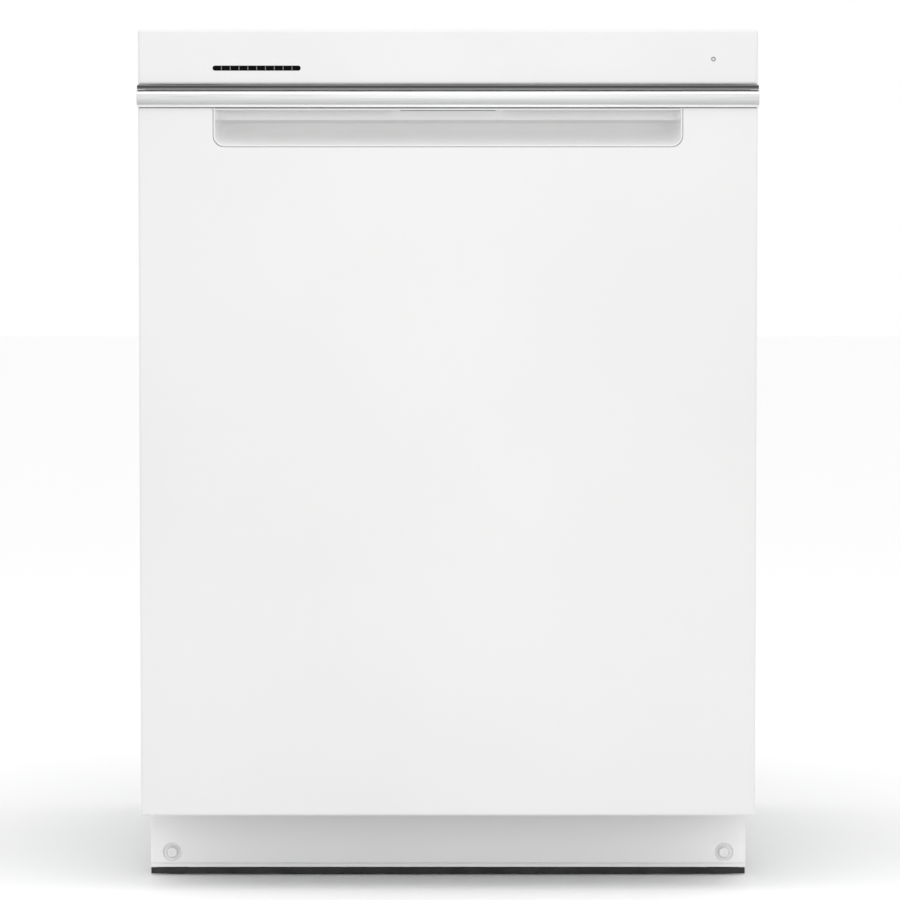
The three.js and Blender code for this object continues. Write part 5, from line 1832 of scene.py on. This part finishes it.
class MakeStage(bpy.types.Operator):
    """Pale floor, soft studio lights and the camera"""

    bl_idname = "dishwasher.stage"
    bl_label = "Stage"

    def execute(self, context):
        self.floor()
        self.lights(context)
        self.camera(context)
        return {"FINISHED"}

    def floor(self):
        deselect()
        bpy.ops.mesh.primitive_plane_add(size=40, location=(0, 0, 0))
        ground = bpy.context.object
        ground.name = "floor"
        material, tree, shader = new_surface("pale_floor", (0.97, 0.97, 0.97), 0.7, specular=0.1)
        vary_roughness(tree, shader, noise_field(tree, 4.0), 0.55, 0.65)
        ground.data.materials.append(material)

    def lights(self, context):
        world = context.scene.world or bpy.data.worlds.new("studio")
        context.scene.world = world
        world.use_nodes = True
        sky = world.node_tree.nodes["Background"]
        sky.inputs["Color"].default_value = (1, 1, 1, 1)
        sky.inputs["Strength"].default_value = 1.0
        context.scene.view_settings.view_transform = "Standard"
        self.panel_light("overhead", (0.0, -1.4, 3.2), (0.0, -0.9, 0.0), (3.4, 2.4), 28)
        self.panel_light("front_right", (2.8, -3.4, 1.6), (0.0, -0.3, 0.5), (2.0, 2.4), 6)
        self.panel_light("centre_strip", (0.03, -1.35, 1.0), (0.03, -0.3, 1.0), (0.3, 1.9), 1.2)

    def panel_light(self, name, place, target, size, power):
        deselect()
        bpy.ops.object.light_add(type="AREA", location=place)
        lamp = bpy.context.object
        lamp.name = name
        lamp.data.shape = "RECTANGLE"
        lamp.data.size, lamp.data.size_y = size
        lamp.data.energy = power
        lamp.visible_camera = False
        aim = Vector(target) - Vector(place)
        lamp.rotation_euler = aim.to_track_quat("-Z", "Y").to_euler()

    def camera(self, context):
        front = limits("door_panel")[0].y
        distance, height, aside = 4.0, 0.6536, 0.002
        pitch = math.radians(3.13)
        deselect()
        bpy.ops.object.camera_add(location=(aside, front - distance, height),
                                  rotation=(math.pi / 2 - pitch, 0, 0))
        camera = bpy.context.object
        camera.data.sensor_width = 36
        camera.data.lens = 163.8
        camera.data.clip_end = 60
        context.scene.camera = camera


# ------------------------------------------------------------------ panel and registration


STEPS = (
    MakeStage, MakeDoorPanel, MakeConsole, MakeVent, MakeKeys, MakeGripStrip, MakePocket, MakeToe,
    MakeInnerDoor, MakeTub, MakeBlanket, MakeFrame, MakeWashGear, MakeRacks,
)


class DishwasherPanel(bpy.types.Panel):
    """Sizes, colours and building steps"""

    bl_idname = "VIEW3D_PT_dishwasher"
    bl_label = "Dishwasher"
    bl_space_type = "VIEW_3D"
    bl_region_type = "UI"
    bl_category = "Dishwasher"

    def draw(self, context):
        for group in (sizes(), colours()):
            box = self.layout.box()
            for name in group.__annotations__:
                box.prop(group, name)
        for step in STEPS:
            self.layout.operator(step.bl_idname)


CLASSES = (DishwasherSizes, DishwasherColours, *STEPS, DishwasherPanel)


def register():
    for item in CLASSES:
        bpy.utils.register_class(item)
    bpy.types.Scene.dishwasher_sizes = PointerProperty(type=DishwasherSizes)
    bpy.types.Scene.dishwasher_colours = PointerProperty(type=DishwasherColours)


def unregister():
    del bpy.types.Scene.dishwasher_colours
    del bpy.types.Scene.dishwasher_sizes
    for item in reversed(CLASSES):
        bpy.utils.unregister_class(item)


def main():
    register()
    for step in STEPS:
        group, name = step.bl_idname.split(".")
        getattr(getattr(bpy.ops, group), name)()


if __name__ == "__main__":
    main()
